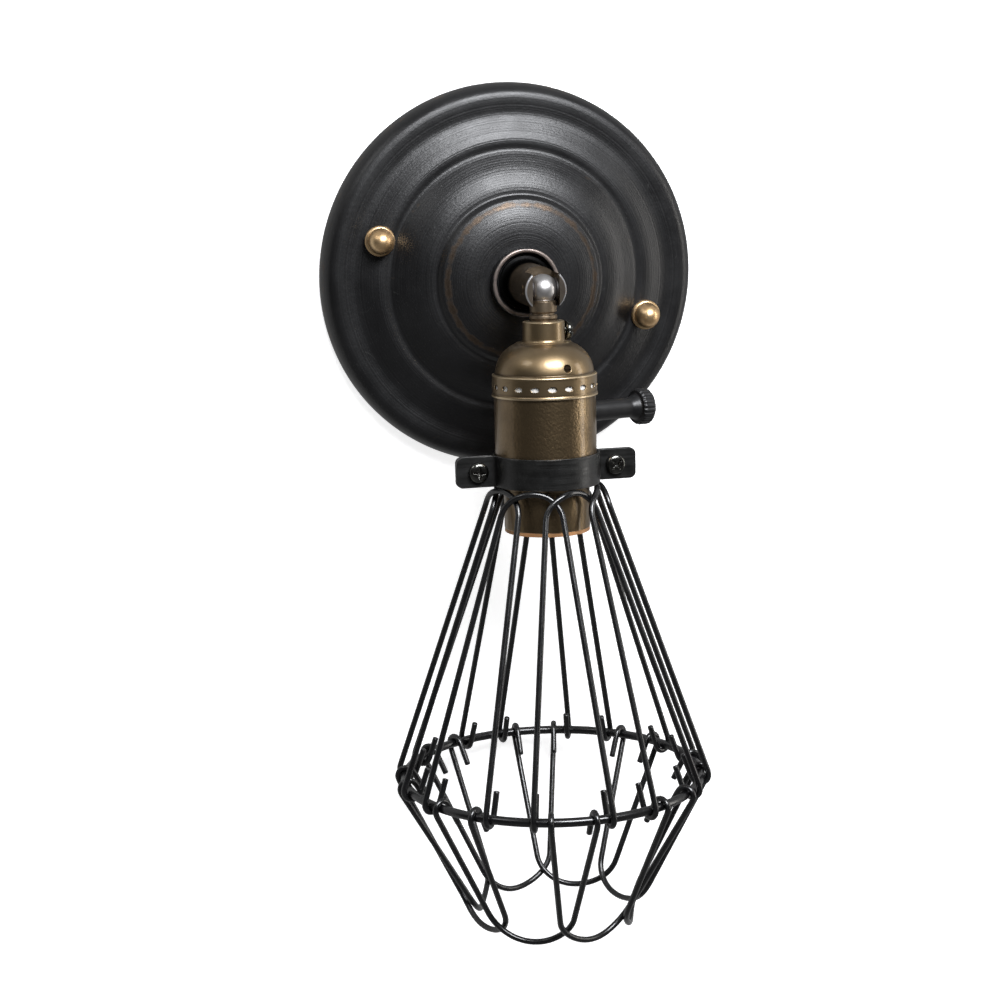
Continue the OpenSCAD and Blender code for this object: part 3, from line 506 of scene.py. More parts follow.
shell_brass = metal(
    "antique brass, grained", (0.2, 0.142, 0.08), (0.29, 0.21, 0.12), 0.37, scale=1000.0,
    wear_and_highlight=1.2, shine=(0.66, 0.52, 0.34), painted_shade=0.7, bump=1.0, spread=0.04, lacquer=0.4,
    relief=0.00015)
nut_brass = metal("polished brass", (0.84, 0.54, 0.27), (0.95, 0.7, 0.41), 0.4, scale=1600.0,
                  painted_shade=0.35)
swivel_bronze = metal("dark bronze", (0.1, 0.068, 0.04), (0.2, 0.145, 0.09), 0.33, scale=1300.0,
                      wear_and_highlight=0.8, shine=(0.6, 0.5, 0.36), bump=0.15)
zinc_steel = metal("zinc plating", (0.42, 0.43, 0.44), (0.6, 0.61, 0.62), 0.3, scale=420.0,
                   bump=0.1, spread=0.08)
inner_brass = metal("plain brass", (0.62, 0.42, 0.2), (0.8, 0.58, 0.3), 0.26, scale=900.0,
                    lines=(1.0, 1.0, 8.0))
earth_green = painted("green screw", (0.02, 0.11, 0.04), (0.035, 0.17, 0.06), 0.35, scale=1500.0)
fibre_red = painted("vulcanised fibre", (0.44, 0.2, 0.08), (0.56, 0.3, 0.13), 0.5, scale=2200.0,
                    bump=0.3)
fibre_dark = painted("dark fibre", (0.012, 0.009, 0.007), (0.025, 0.018, 0.013), 0.5,
                     scale=2200.0, bump=0.3)
paper_white = painted("insulating paper", (0.78, 0.77, 0.74), (0.86, 0.85, 0.82), 0.6,
                      scale=1500.0, bump=0.2)
print("finishes:", len(bpy.data.materials))

# %% [markdown]
# ## The parts that stay as the CAD model draws them
# The bracket, the nuts and washers behind the canopy and the works inside the
# lampholder already have their true shape. They only need a finish.

# %% Finishes for the CAD parts that stay
KEPT = {
    zinc_steel: ["mounting_bracket", "bracket_studs", "nipple", "nipple_nut", "lock_washer"],
    earth_green: ["earth_screw"],
    fibre_dark: ["friction_washers"],
    swivel_bronze: ["cap_screw", "pivot_pin"],
    phenolic_black: ["socket_block", "switch_cam"],
    inner_brass: ["centre_contact", "terminal_screws", "switch_stem"],
    screw_black: ["clamp_nuts"],
}
for material, names in KEPT.items():
    for name in names:
        nodes[name].data.materials.clear()
        nodes[name].data.materials.append(material)
print("CAD parts that keep their mesh:", sum(len(n) for n in KEPT.values()))

# %% [markdown]
# ## Thin sheets with holes
# The canopy, the lampholder's cap and its shell are thin sheets, turned or spun,
# with holes punched through. A boolean would leave ragged shading round each
# hole. Here the profile is offset to give the sheet its inner face, a small
# window of quads is left out round each hole, and a ring of points fills the
# window: it starts as the window's square edge, becomes the hole's oval, goes
# through the sheet, and opens out again on the inside.

# %% Turned sheets
def sheet(profile, thick, place, steps=192, holes=()):
    """A turned sheet of even thickness, with oval holes.

    profile has (radius, height) points from the rim inwards; a point of the
    inner face is the outer one less thick times the normal. A hole is
    (turn in degrees, distance along the profile, half its width, half its height).
    """
    profile = np.asarray(profile, float)
    along = distance_along(profile)
    slope = direction(profile, along)
    normal = np.stack([slope[:, 1], -slope[:, 0]], 1)
    angles = np.linspace(0, 2 * np.pi, steps, endpoint=False)

    def surface(angle, distance, depth):
        """The face at depth 0, and the inner one at depth 1: depth times thick along the normal."""
        r, h, nr, nh = (np.interp(distance, along, v) for v in (*profile.T, *normal.T))
        r, h = r - depth * thick * nr, h - depth * thick * nh
        return place(np.stack([r * np.cos(angle), r * np.sin(angle), h], -1)).reshape(-1, 3)

    rows = len(profile)
    both = np.concatenate([along, along[::-1]])[:, None]
    depth = np.repeat([0.0, 1.0], rows)[:, None]
    shape = np.zeros((2 * rows, steps))
    points = surface(angles + shape, both + shape, depth + shape)
    quads = grid(2 * rows, steps, True)
    keep = np.ones((2 * rows, steps), bool)
    skins, distances = [], [np.broadcast_to(both, shape.shape).ravel()]
    for turn, centre, half_w, half_h in holes:
        turn = np.radians(turn) % (2 * np.pi)
        radius = np.interp(centre, along, profile[:, 0])
        j0 = int(np.floor((turn - 1.5 * half_w / radius) / (2 * np.pi) * steps))
        j1 = int(np.ceil((turn + 1.5 * half_w / radius) / (2 * np.pi) * steps))
        i0 = np.searchsorted(along, centre - 1.4 * half_h) - 1
        i1 = np.searchsorted(along, centre + 1.4 * half_h)
        cols = np.arange(j0, j1) % steps
        keep[np.ix_(np.arange(i0, i1), cols)] = False
        keep[np.ix_(2 * rows - 1 - np.arange(i0 + 1, i1 + 1), cols)] = False
        ji, ii = np.arange(j0, j1), np.arange(i0, i1)
        edge_j = np.concatenate([ji, np.full(len(ii), j1), ji[::-1] + 1, np.full(len(ii), j0)])
        edge_i = np.concatenate([np.full(len(ji), i0), ii, np.full(len(ji), i1), ii[::-1] + 1])
        edge_a, edge_s = edge_j * 2 * np.pi / steps, along[edge_i]
        angle = np.arctan2((edge_s - centre) / half_h, (edge_a - turn) * radius / half_w)
        oval_a, oval_s = turn + half_w * np.cos(angle) / radius, centre + half_h * np.sin(angle)
        mix = np.array([0, 0.45, 0.8, 0.94, 1, 1, 0.94, 0.8, 0.45, 0])[:, None]
        through = np.array([0, 0, 0, 0.02, 0.2, 0.8, 0.98, 1, 1, 1])[:, None] + 0 * angle
        ring_a, ring_s = edge_a * (1 - mix) + oval_a * mix, edge_s * (1 - mix) + oval_s * mix
        ring = surface(ring_a, ring_s, through)
        lattice = grid(10, len(angle))
        skins.append((ring, lattice))
        distances.append(ring_s.ravel())
    skins.insert(0, (points, quads[keep.ravel()]))
    return skins, np.concatenate(distances)


def face_out_together(skins):
    """The skins of one closed sheet, turned over together if need be.

    Each hole's ring starts on the sheet's outer face, so its first quads must
    face away from the sheet's middle as the main skin's do.
    """
    flip = inside_out(*skins[0])
    return [(p, q[:, ::-1] if flip else q) for p, q in skins]


def hump(value, centre, half):
    """A smooth bump: 1 at centre, falling to 0 at half on each side."""
    t = np.clip(np.abs(value - centre) / half, 0, 1)
    return (1 + np.cos(np.pi * t)) / 2


def ease(t):
    """0 below 0, 1 above 1, and a smooth rise between."""
    t = np.clip(t, 0, 1)
    return t * t * (3 - 2 * t)


# %% [markdown]
# ## The canopy
# It is spun from sheet steel: a rolled rim, a flat ring, a step, a second ring,
# a small step and a crown. The CAD model draws it with short straight pieces,
# which would show as bands in the long soft highlights. How far a spot leans
# decides whether it catches the lamp, so the contour is given here as a table of
# leans and summed up to heights, with points 0.35 mm apart. It keeps the CAD
# model's diameter, full height and flat hub seat, but between them its face
# departs from the CAD model's by up to 1.5 mm. A point attribute says where
# hands and cloth have rubbed the paint: on the crests.

# %% Canopy
CANOPY_R, RIM_W, RIM_H, SHEET_T = 70.0, 6.0, 9.5, 1.0
HUB_SEAT, NIPPLE_HOLE, CROWN_H = 14.0, 5.15, 24.5
STUD_REACH, STUD_HOLE_R, POINT_GAP = 52.0, 2.2, 0.35
STEEPNESS = np.array([  # (radius, degrees the face leans), from the rim to the hub
    (64, 0), (62.5, -4), (60, -4), (58, 14), (56, 23), (53, 24), (50.8, 17), (49, 2),
    (47.8, -10), (46.9, -4), (46, 22), (45, 36), (41.5, 36), (38.5, 28), (35.7, 21), (33, 13),
    (31.6, 2), (31, 6), (30.3, 52), (29.3, 52), (28.6, 16), (27, 20), (24.5, 20), (20.5, 10),
    (17, 3), (HUB_SEAT, 0)])
fine_r = np.arange(CANOPY_R - RIM_W, HUB_SEAT - 0.01, -0.05)
rise = np.tan(np.radians(np.interp(-fine_r, -STEEPNESS[:, 0], STEEPNESS[:, 1])))
rise = np.cumsum(rise) * (CROWN_H - RIM_H) / rise.sum()


def canopy_height(r):
    """Height of the outer face at radius r: the rim's, plus tan(lean) summed from the rim in."""
    return RIM_H + np.interp(-r, -fine_r, rise)


bend = np.linspace(0, np.pi / 2, 18)
rim = np.stack([CANOPY_R - RIM_W + RIM_W * np.cos(bend) ** 0.85, RIM_H * np.sin(bend) ** 0.85], 1)
across = np.arange(CANOPY_R - RIM_W - POINT_GAP, NIPPLE_HOLE, -POINT_GAP)
canopy_profile = np.concatenate([rim, np.stack([across, canopy_height(across)], 1)])
run = distance_along(canopy_profile)
stud_at = np.interp(-STUD_REACH, -canopy_profile[:, 0], run)
stud_holes = [(turn, stud_at, STUD_HOLE_R, STUD_HOLE_R) for turn in (-17.0, 163.0)]
skins, where = sheet(canopy_profile, SHEET_T, from_wall, steps=256, holes=stud_holes)
radius = np.interp(where, run, canopy_profile[:, 0])
wear_and_highlight = 0.4 * hump(radius, 69.6, 1.0) + 0.2 * hump(radius, 45.0, 1.5) + 0.78 * hump(radius, 27.3, 2.2)
canopy = piece("canopy_sheet", face_out_together(skins), canopy_black, "wall_base",
               ["canopy"], {"wear_and_highlight": wear_and_highlight})
crown = float(canopy_height(np.array(0.0)))
print("canopy faces:", len(canopy.data.polygons), "crown height:", round(crown, 2))

# %% [markdown]
# ## The hub, the ball nuts and the swivel
# The hub is a shallow cup with a beaded lip. Each ball nut has a thin flange and
# a domed cap. All are profiles with rounded corners, because it is the small
# radius on an edge that catches the light.

# %% Hub and ball nuts
HUB_R, HUB_H = 12.4, 4.4
bead = np.radians(np.linspace(0, 180, 13))
hub_profile = np.concatenate([
    rounded([[NIPPLE_HOLE, crown + 0.05], [HUB_R - 0.2, crown + 0.05], [HUB_R, crown + 0.5]],
            [0.05, 0.15, 0.2], closed=False)[1:-1],
    np.stack([HUB_R - 0.9 * (1 - np.cos(bead)), crown + HUB_H - 0.9 * (1 - np.sin(bead))], 1),
    rounded([[HUB_R - 1.8, crown + 3.3], [HUB_R - 2.0, crown + 1.9], [HUB_R - 2.5, crown + 1.4],
             [NIPPLE_HOLE, crown + 1.4], [NIPPLE_HOLE, crown + 0.05]], 0.3, closed=False)[1:]])
# Painted highlight: the pale lip colour is laid on the bead's crest all round, with worn paint.
lip = np.repeat(hump(hub_profile[:, 1], crown + HUB_H, 0.7), 128)
piece("hub_cup", [turned(hub_profile, from_wall)], hub_black_lip_highlight, "wall_base",
      ["hub_collar"], {"wear_and_highlight": 0.8 * lip})

NUT_R, NUT_H = 5.5, 7.8
under_nut = np.arange(STUD_REACH - NUT_R, STUD_REACH + NUT_R, 0.5)
nut_seat = 0.05 + canopy_height(under_nut).max()
dome = np.radians(np.linspace(0, 90, 19))
nut_profile = np.concatenate([
    rounded([[0, 0], [NUT_R - 0.3, 0], [NUT_R, 0.35], [NUT_R, 1.1], [NUT_R - 0.4, 1.6],
             [NUT_R - 1.0, 1.85]], [0, 0.1, 0.15, 0.3, 0.3, 0], closed=False),
    np.stack([(NUT_R - 0.9) * np.cos(dome), 2.4 + (NUT_H - 2.4) * np.sin(dome)], 1)])
nut_profile[-1, 0] = 0
skins, painted_shade = [], []
for side in (-1, 1):
    points, quads = turned(nut_profile, beside(on_bracket, STUD_REACH * side, 0, nut_seat), 72)
    skins.append((points, quads))
    # Painted shade: a dark line where the dome meets the flange.
    painted_shade.append(np.repeat(hump(nut_profile[:, 1], 1.95, 0.7), 72))
piece("ball_nut_caps", skins, nut_brass, "wall_base", ["ball_nuts"],
      {"painted_shade": np.concatenate(painted_shade)})
print("nuts seat at:", round(float(nut_seat), 2))


# %% [markdown]
# ## The swivel
# A slotted barrel holds the tongue's knuckle on a riveted pin. Their true shapes
# come from the CAD model, so a copy of each mesh is merged, its flat triangles
# are joined, and a Bevel modifier breaks the edges. The rim of the barrel's open
# end and the tongue's knuckle are bare nickel. The finish finds them by place:
# the rim beyond a plane and outside a radius, the knuckle near the pin.

# %% Swivel barrel and tongue
def broken_edges(name, node, material, body, width):
    """A copy of a CAD part with its edges broken by a small bevel."""
    mesh = nodes[node].data.copy()
    mesh.name = name
    made = bmesh.new()
    made.from_mesh(mesh)
    bmesh.ops.remove_doubles(made, verts=made.verts, dist=1e-6)
    bmesh.ops.dissolve_limit(made, angle_limit=np.radians(0.5), verts=made.verts, edges=made.edges)
    made.to_mesh(mesh)
    made.free()
    mesh.polygons.foreach_set("use_smooth", np.ones(len(mesh.polygons), bool))
    thing = bpy.data.objects.new(name, mesh)
    bevel = thing.modifiers.new("broken edges", "BEVEL")
    bevel.width, bevel.segments, bevel.limit_method = width * MM, 2, "ANGLE"
    bevel.angle_limit = np.radians(32)
    smooth = thing.modifiers.new("even shading", "WEIGHTED_NORMAL")
    smooth.keep_sharp, smooth.weight = False, 80
    return dress(thing, material, body, [node])


def nickel_or_bronze(name, pick, tone):
    """Bronze and nickel in one finish; pick(tree, where) gives the mask of the nickel. Near the
    wall the bronze turns near black, a painted shade inside the hub cup.
    """
    material, tree, sockets, where = finish(name, metallic=1.0)
    texture = use(tree, grain, {"Vector": where, "Scale": 1300.0})
    bronze = blend(tree, texture["Mottle"], [0.1 * tone, 0.076 * tone, 0.052 * tone],
                   [0.19 * tone, 0.15 * tone, 0.105 * tone])
    y = add(tree, "SeparateXYZ", {0: where}).outputs["Y"]
    # Painted shade: where Y is above -31.5 mm, down inside the hub cup, the bronze turns near
    # black, fading back to bronze by -33.5 mm.
    bronze = blend(tree, ramp(tree, y, -0.0315, -0.0335), (0.006, 0.006, 0.006), bronze)
    nickel = blend(tree, texture["Mottle"], (0.72, 0.72, 0.74), (0.84, 0.84, 0.85))
    mask = pick(tree, where)
    colour, roughness = blend(tree, mask, bronze, nickel), ramp(tree, mask, 0.0, 1.0, 0.46, 0.38)
    cover(tree, sockets, colour, roughness, texture["Height"], 0.3, 0.00005)
    return material


def beyond_plane(tree, where):
    """1 on the barrel's rim, where Y is beyond its end and the radius is nearly its own."""
    y = add(tree, "SeparateXYZ", {0: where}).outputs["Y"]
    radius = from_axis(tree, where)
    at_end = ramp(tree, y, -0.0545, -0.0548)
    return math(tree, "MULTIPLY", at_end, ramp(tree, radius, 0.0067, 0.0071, 0.06, 1.0))


def near_pin(tree, where):
    """1 on the knuckle, within 5.3 mm of the pin."""
    gap = add(tree, "VectorMath", {0: where, 1: (0.0, -0.0505, 0.0)}, operation="DISTANCE")
    return ramp(tree, gap.outputs["Value"], 0.0054, 0.0051)


barrel_metal = nickel_or_bronze("bronze barrel, nickel end", beyond_plane, 0.85)
tongue_metal = nickel_or_bronze("bronze tongue, nickel knuckle", near_pin, 1.5)
broken_edges("swivel_barrel", "swivel_body", barrel_metal, "wall_base", 0.18)
broken_edges("tongue", "swivel_tongue", tongue_metal, "lamp_head", 0.2)

# %% [markdown]
# ## The lampholder's cap
# A neck, a rounded shoulder, a half-round dome, a crease and a straight skirt
# with a ring of 19 oval vents and a beaded bottom edge. It is one sheet, so it
# is drawn from the bottom edge up, and the vents and the screw's pit in the
# dome are punched by the same helper.

# %% Cap
NECK_DROP, NECK_R, NECK_H, DOME_H = 10.9, 7.35, 7.3, 10.6
SKIRT_R, SKIRT_H, BRASS_T = 18.4, 7.9, 0.5
SHOULDER = NECK_DROP + NECK_H
SKIRT_TOP = SHOULDER + DOME_H
SKIRT_END = SKIRT_TOP + SKIRT_H
CREASE_R, DOME_CENTRE, SHOULDER_R = SKIRT_R - 1.2, NECK_R - 2.3, NECK_R + 2.65
VENTS, VENT_HALF_W, VENT_HALF_H = 19, 1.5, 0.88
PIT_TURN, PIT_R = -77.0, 1.4
dome_half = CREASE_R - DOME_CENTRE
dome_rise = (DOME_H - 0.4) / np.cos(np.arcsin((SHOULDER_R - DOME_CENTRE) / dome_half))
swing = np.linspace(np.pi / 2, np.arcsin((SHOULDER_R + 0.05 - DOME_CENTRE) / dome_half), 30)
dome_curve = np.stack([DOME_CENTRE + dome_half * np.sin(swing),
                       -SKIRT_TOP + dome_rise * np.cos(swing)], 1)
skirt = rounded([[SKIRT_R - 0.15, -SKIRT_END], [SKIRT_R + 0.15, -SKIRT_END + 0.15],
                 [SKIRT_R + 0.15, -SKIRT_END + 0.75], [SKIRT_R - 0.1, -SKIRT_END + 1.15],
                 [SKIRT_R - 0.1, -SKIRT_TOP - 1.3], [SKIRT_R - 0.02, -SKIRT_TOP - 0.75],
                 [SKIRT_R - 0.15, -SKIRT_TOP - 0.3], [CREASE_R + 0.5, -SKIRT_TOP - 0.1],
                 [CREASE_R, -SKIRT_TOP + 0.25]],
                [0, 0.12, 0.2, 0.3, 0.4, 0.3, 0.25, 0.3, 0], closed=False)
straight = np.linspace(-SKIRT_END + 1.6, -SKIRT_TOP - 1.7, 15)
skirt = skirt[np.argsort(skirt[:, 1], kind="stable")]
low, high = skirt[skirt[:, 1] < straight[0] - 0.05], skirt[skirt[:, 1] > straight[-1] + 0.05]
neck = rounded([[SHOULDER_R, -SHOULDER - 0.3], [SHOULDER_R - 0.5, -SHOULDER],
                [NECK_R + 0.35, -SHOULDER + 0.15], [NECK_R, -SHOULDER + 0.9],
                [NECK_R, -NECK_DROP - 0.35], [NECK_R - 0.35, -NECK_DROP], [5.0, -NECK_DROP]],
               [0, 0.3, 0.3, 0.4, 0.2, 0.2, 0], closed=False)
cap_profile = np.concatenate([low, np.stack([np.full(15, SKIRT_R - 0.1), straight], 1), high,
                              dome_curve[1:], neck[1:]])
cap_run = distance_along(cap_profile)
vent_at = np.interp(-(SKIRT_TOP + SKIRT_H * 0.53), cap_profile[:40, 1], cap_run[:40])
pit_at = np.interp(-(SKIRT_TOP - 2.6), cap_profile[:, 1], cap_run)
holes = [(k * 360 / VENTS - 2, vent_at, VENT_HALF_W, VENT_HALF_H) for k in range(VENTS)]
holes.append((PIT_TURN, pit_at, PIT_R, PIT_R))
skins, where = sheet(cap_profile, BRASS_T, in_lamp, steps=VENTS * 14, holes=holes)
drop = -np.interp(where, cap_run, cap_profile[:, 1])
# Brighter brass along the crease, the bottom bead, the neck's edge and the shoulder: wear, and on
# the crease and bead also a painted highlight.
wear_and_highlight = (0.9 * hump(drop, SKIRT_TOP + 0.35, 0.55) + 0.85 * hump(drop, SKIRT_END - 0.4, 0.6)
       + 0.8 * hump(drop, NECK_DROP + 0.1, 0.4) + 0.45 * hump(drop, SHOULDER - 0.1, 0.5))
# Painted shade: darker just above the crease, just above the bottom bead and just under the
# shoulder.
painted_shade = (0.8 * hump(drop, SKIRT_TOP - 0.35, 0.7) + 0.5 * hump(drop, SKIRT_END - 1.5, 0.6)
        + 0.5 * hump(drop, SHOULDER + 0.5, 0.8))
cap = piece("lampholder_cap", face_out_together(skins), cap_brass, "lamp_head",
            ["socket_cap"], {"wear_and_highlight": wear_and_highlight, "painted_shade": painted_shade})
print("cap faces:", len(cap.data.polygons))

# %% [markdown]
# ## The lampholder's shell and mouth
# The shell slides up into the skirt, narrows below the clamp and ends at the
# mouth. Its surface has a fine orange-peel grain. Inside it lie a fibre liner,
# which stands just proud of the edge as a copper-coloured line, and the lamp
# shell with its rolled thread: the radius rises and falls with the height, one
# turn further on for each pitch.

# %% Shell, liner and rolled thread
SHELL_R, MOUTH_R = 17.8, 15.1
SWITCH_TURN, SWITCH_DROP, STEM_HOLE_R = 15.0, 44.0, 3.2
SHELL_TOP, SHELL_END = SKIRT_TOP + 5.4, SKIRT_TOP + 54.4
CLAMP_TOP, CLAMP_H = SKIRT_END + 20.2, 10.9
CLAMP_END = CLAMP_TOP + CLAMP_H
TAPER_END, TAPER_TOP = CLAMP_END + 0.6, CLAMP_END - 2.0
wall = rounded([[MOUTH_R - 0.12, -SHELL_END], [MOUTH_R, -SHELL_END + 0.15], [MOUTH_R, -TAPER_END],
                [SHELL_R, -TAPER_TOP], [SHELL_R, -SHELL_TOP - 0.2], [SHELL_R - 0.12, -SHELL_TOP]],
               [0, 0.12, 0.9, 0.9, 0.12, 0], closed=False, steps=6)
wall_run = distance_along(wall)
even = np.unique(np.concatenate([wall_run, np.arange(0.5, wall_run[-1] - 0.3, 0.8)]))
even = even[np.concatenate([[True], np.diff(even) > 0.02])]
shell_profile = np.stack([np.interp(even, wall_run, column) for column in wall.T], 1)
stem_at = np.interp(-SWITCH_DROP, shell_profile[:, 1], even)
skins, where = sheet(shell_profile, BRASS_T, in_lamp, steps=160,
                     holes=[(SWITCH_TURN, stem_at, STEM_HOLE_R, STEM_HOLE_R)])
drop = -np.interp(where, even, shell_profile[:, 1])
piece("lampholder_shell", face_out_together(skins), shell_brass, "lamp_head",
      ["socket_shell"],
      {"wear_and_highlight": 0.8 * hump(drop, SHELL_END, 0.4) + 0.35 * hump(drop, TAPER_END, 0.8),
       # Painted shade: darker where the shell comes out from under the skirt and along the clamp's
       # top edge.
       "painted_shade": 0.7 * hump(drop, SKIRT_END, 1.2) + 0.5 * hump(drop, CLAMP_TOP, 1.0)})

lip = rounded([[14.05, -SHELL_END - 1.3], [15.0, -SHELL_END - 1.3], [15.0, -SHELL_END - 0.05],
               [14.55, -SHELL_END - 0.05], [14.55, -TAPER_END + 0.1], [17.25, -TAPER_TOP],
               [17.25, -35.2], [16.75, -35.2], [16.75, -TAPER_TOP - 0.15],
               [14.05, -TAPER_END - 0.05]], 0.12)
piece("fibre_liner", [turned(lip, in_lamp)], fibre_red, "lamp_head", ["shell_liner"])
sleeve = rounded([[17.3, -34.15], [17.6, -34.15], [17.6, -30.8], [17.3, -30.8]], 0.08)
piece("paper_sleeve", [turned(sleeve, in_lamp, 96)], paper_white, "lamp_head")

PITCH, BORE, foot = 3.6, 13.3, 58.85
spread = np.arange(foot + 4.0, 82.2, 0.24)
inside = np.stack([np.full(len(spread), BORE), -spread], 1)
shell_of_thread = np.concatenate([
    [[6.0, -foot - 0.4], [12.4, -foot - 0.4], [12.75, -foot - 0.6]], inside,
    [[BORE, -82.3], [BORE + 0.1, -82.4], [BORE + 0.4, -82.4]], (inside + [0.4, 0.0])[::-1],
    [[13.15, -foot - 0.3], [12.8, -foot], [6.0, -foot]]])


def rolled(r, h, a):
    """Rolled thread: the radius dips by up to 0.8 mm, following 2 pi h / PITCH + a."""
    fade = ease((-h - foot - 4) / 2) * ease((82.2 + h) / 1.5)
    return r - 0.8 * fade * (0.5 - 0.5 * np.cos(2 * np.pi * h / PITCH + a)) * (r > 13)


piece("thread_shell", [turned(shell_of_thread, in_lamp, 96, rolled)], inner_brass, "lamp_head",
      ["lamp_shell"])


# %% [markdown]
# ## Screws
# A screw head is a round grid pushed up into a dome and down again where the
# slot or the cross is. The grid is a square one bent into a disc, so its points
# are evenly spread and the recess has a crisp edge. A thread is a turned bar
# whose radius follows the angle and the height together.

# %% Screw heads and threaded bars
def screw_head(radius, height, recess, place, count=64):
    """A domed disc with a recess.

    The square grid (u, v) becomes a disc by x = u sqrt(1 - v^2/2), and so for y.
    Its height is a flat side wall of 0.4 height and a dome above it, less recess(x, y).
    """
    u, v = np.meshgrid(np.linspace(-1, 1, count), np.linspace(-1, 1, count))
    x, y = u * np.sqrt(1 - v ** 2 / 2), v * np.sqrt(1 - u ** 2 / 2)
    rho = np.clip(np.hypot(x, y), 0, 1)
    top = height * (0.4 + 0.6 * np.sqrt(np.clip(1 - (rho * 0.985) ** 4, 0, 1)))
    top = top - recess(x * radius, y * radius) * ease((1 - rho) / 0.1)
    top[rho > 0.9999] = 0
    upper = np.stack([x * radius, y * radius, top], -1)
    lower = np.stack([x * radius, y * radius, 0 * top], -1)
    points = place(np.concatenate([upper.reshape(-1, 3), lower.reshape(-1, 3)]))
    face = grid(count, count, wrap_cols=False)
    edge_row = np.concatenate([np.arange(count), np.arange(1, count) * count + count - 1,
                               np.arange(count - 2, -1, -1) + (count - 1) * count,
                               np.arange(count - 2, 0, -1) * count])
    quads = np.concatenate([face, face[:, ::-1] + count * count,
                            np.stack([np.roll(edge_row, -1), edge_row, edge_row + count * count,
                                      np.roll(edge_row, -1) + count * count], 1)])
    return points, facing_out(points, quads)


def cross_recess(depth, width, reach, turn=0.0):
    """Depth of a cross whose arms narrow as they go down and out."""
    turn = np.radians(turn)

    def recess(x, y):
        p, q = x * np.cos(turn) + y * np.sin(turn), y * np.cos(turn) - x * np.sin(turn)
        near, far = np.minimum(abs(p), abs(q)), np.maximum(abs(p), abs(q))
        arm = np.clip(1 - far / reach, 0, 1)
        across_arm, along_arm = (width * (0.6 + 0.5 * arm) - near) / 0.16, arm / 0.25
        return depth * ease(across_arm) * ease(along_arm) * (0.55 + 0.45 * arm)
    return recess


def slot_recess(depth, width):
    """Depth of a straight slot right across the head."""
    return lambda x, y: depth * ease((width / 2 - abs(x)) / 0.12 + 0.5)


def threaded(radius, low, high, place, pitch=0.7, depth=0.14):
    """A bar with a thread: the radius falls by depth as 2 pi z / pitch - angle turns."""
    rows = int((high - low) / pitch * 8)
    z = np.linspace(low + 0.3, high - 0.3, rows)
    side = np.stack([np.full(rows, radius), z], 1)
    profile = np.concatenate([[[0, low], [radius - 0.4, low]], side,
                              [[radius - 0.4, high], [0, high]]])
    return turned(profile, place, 40, lambda r, h, a: np.where(
        r > radius - 0.01, r - depth * (0.5 + 0.5 * np.cos(2 * np.pi * h / pitch - a)), r))


neck_place = outward(8.0, NECK_DROP + NECK_H / 2)
skins = [screw_head(3.3, 2.95, slot_recess(0.9, 0.95), beside(neck_place, 0, 0, NECK_R + 0.3)),
         threaded(1.85, 4.95, NECK_R + 1.0, neck_place)]
piece("neck_thumbscrew", skins, screw_black, "lamp_head", ["neck_screw"])

# %% [markdown]
# ## The knob
# A moulded knob: a round stem that flares into a disc with fine ribs round its
# edge. It is one profile; the ribs are a ripple of the radius with the angle,
# which fades out on the disc's rounded corners.

# %% Knob
KNOB_R, KNOB_T, KNOB_IN, RIBS = 6.5, 5.0, 37.5, 24
knob_face = KNOB_IN + KNOB_T
knob_profile = np.concatenate([
    rounded([[0, 15.6], [2.75, 15.6], [2.75, 18.3], [3.6, 18.5], [3.6, KNOB_IN - 3.2],
             [3.8, KNOB_IN - 2.4], [4.6, KNOB_IN - 0.25], [4.9, KNOB_IN], [KNOB_R - 0.6, KNOB_IN],
             [KNOB_R, KNOB_IN + 0.6]],
            [0, 0.15, 0.1, 0.2, 0.9, 0.7, 0.3, 0.3, 0.25, 0.25], closed=False, steps=5)[:-1],
    np.stack([np.full(9, KNOB_R), np.linspace(KNOB_IN + 0.8, knob_face - 0.8, 9)], 1),
    rounded([[KNOB_R, knob_face - 0.7], [KNOB_R - 0.7, knob_face], [KNOB_R - 1.6, knob_face],
             [KNOB_R - 2.4, knob_face - 0.6], [1.0, knob_face - 0.45], [0, knob_face - 0.45]],
            [0.1, 0.3, 0.3, 0.5, 0.4, 0], closed=False, steps=5)[1:]])


def ribbed(r, h, a):
    """Cut 24 rounded grooves, 0.3 mm deep, where the radius is near the disc's edge."""
    depth = 0.3 * ease((r - KNOB_R + 0.9) / 0.7) * (h > KNOB_IN - 0.1)
    return r - depth * (0.5 + 0.5 * np.cos(RIBS * a)) ** 2.2


knob = turned(knob_profile, outward(SWITCH_TURN, SWITCH_DROP), RIBS * 10, ribbed)
on_disc = knob_profile[:, 1] > KNOB_IN - 0.1
knob_rub = np.repeat(hump(knob_profile[:, 0], KNOB_R, 0.5) * on_disc, RIBS * 10)
piece("turn_knob", [knob], phenolic_black, "knob", ["switch_knob"],
      {"wear_and_highlight": 0.5 * knob_rub})

# %% [markdown]
# ## The clamp
# Two strips of steel, bent round the shell and drawn together by two screws
# through their ears. A strip is its rounded cross-section carried along a plan
# path: along one ear, round the bend at its root, round the shell, and out along
# the other ear. Near each end the strip's height shrinks along a quarter circle,
# which rounds the ear's corners.

# %% Clamp
BAND_T, EAR_END, EAR_GAP, EAR_C, EAR_SCREW = 0.9, 32.5, 0.35, 2.2, 24.8
BAND_R = SHELL_R + 0.05 + BAND_T / 2
EAR_Y = EAR_GAP + BAND_T / 2
MID_DROP = CLAMP_TOP + CLAMP_H / 2


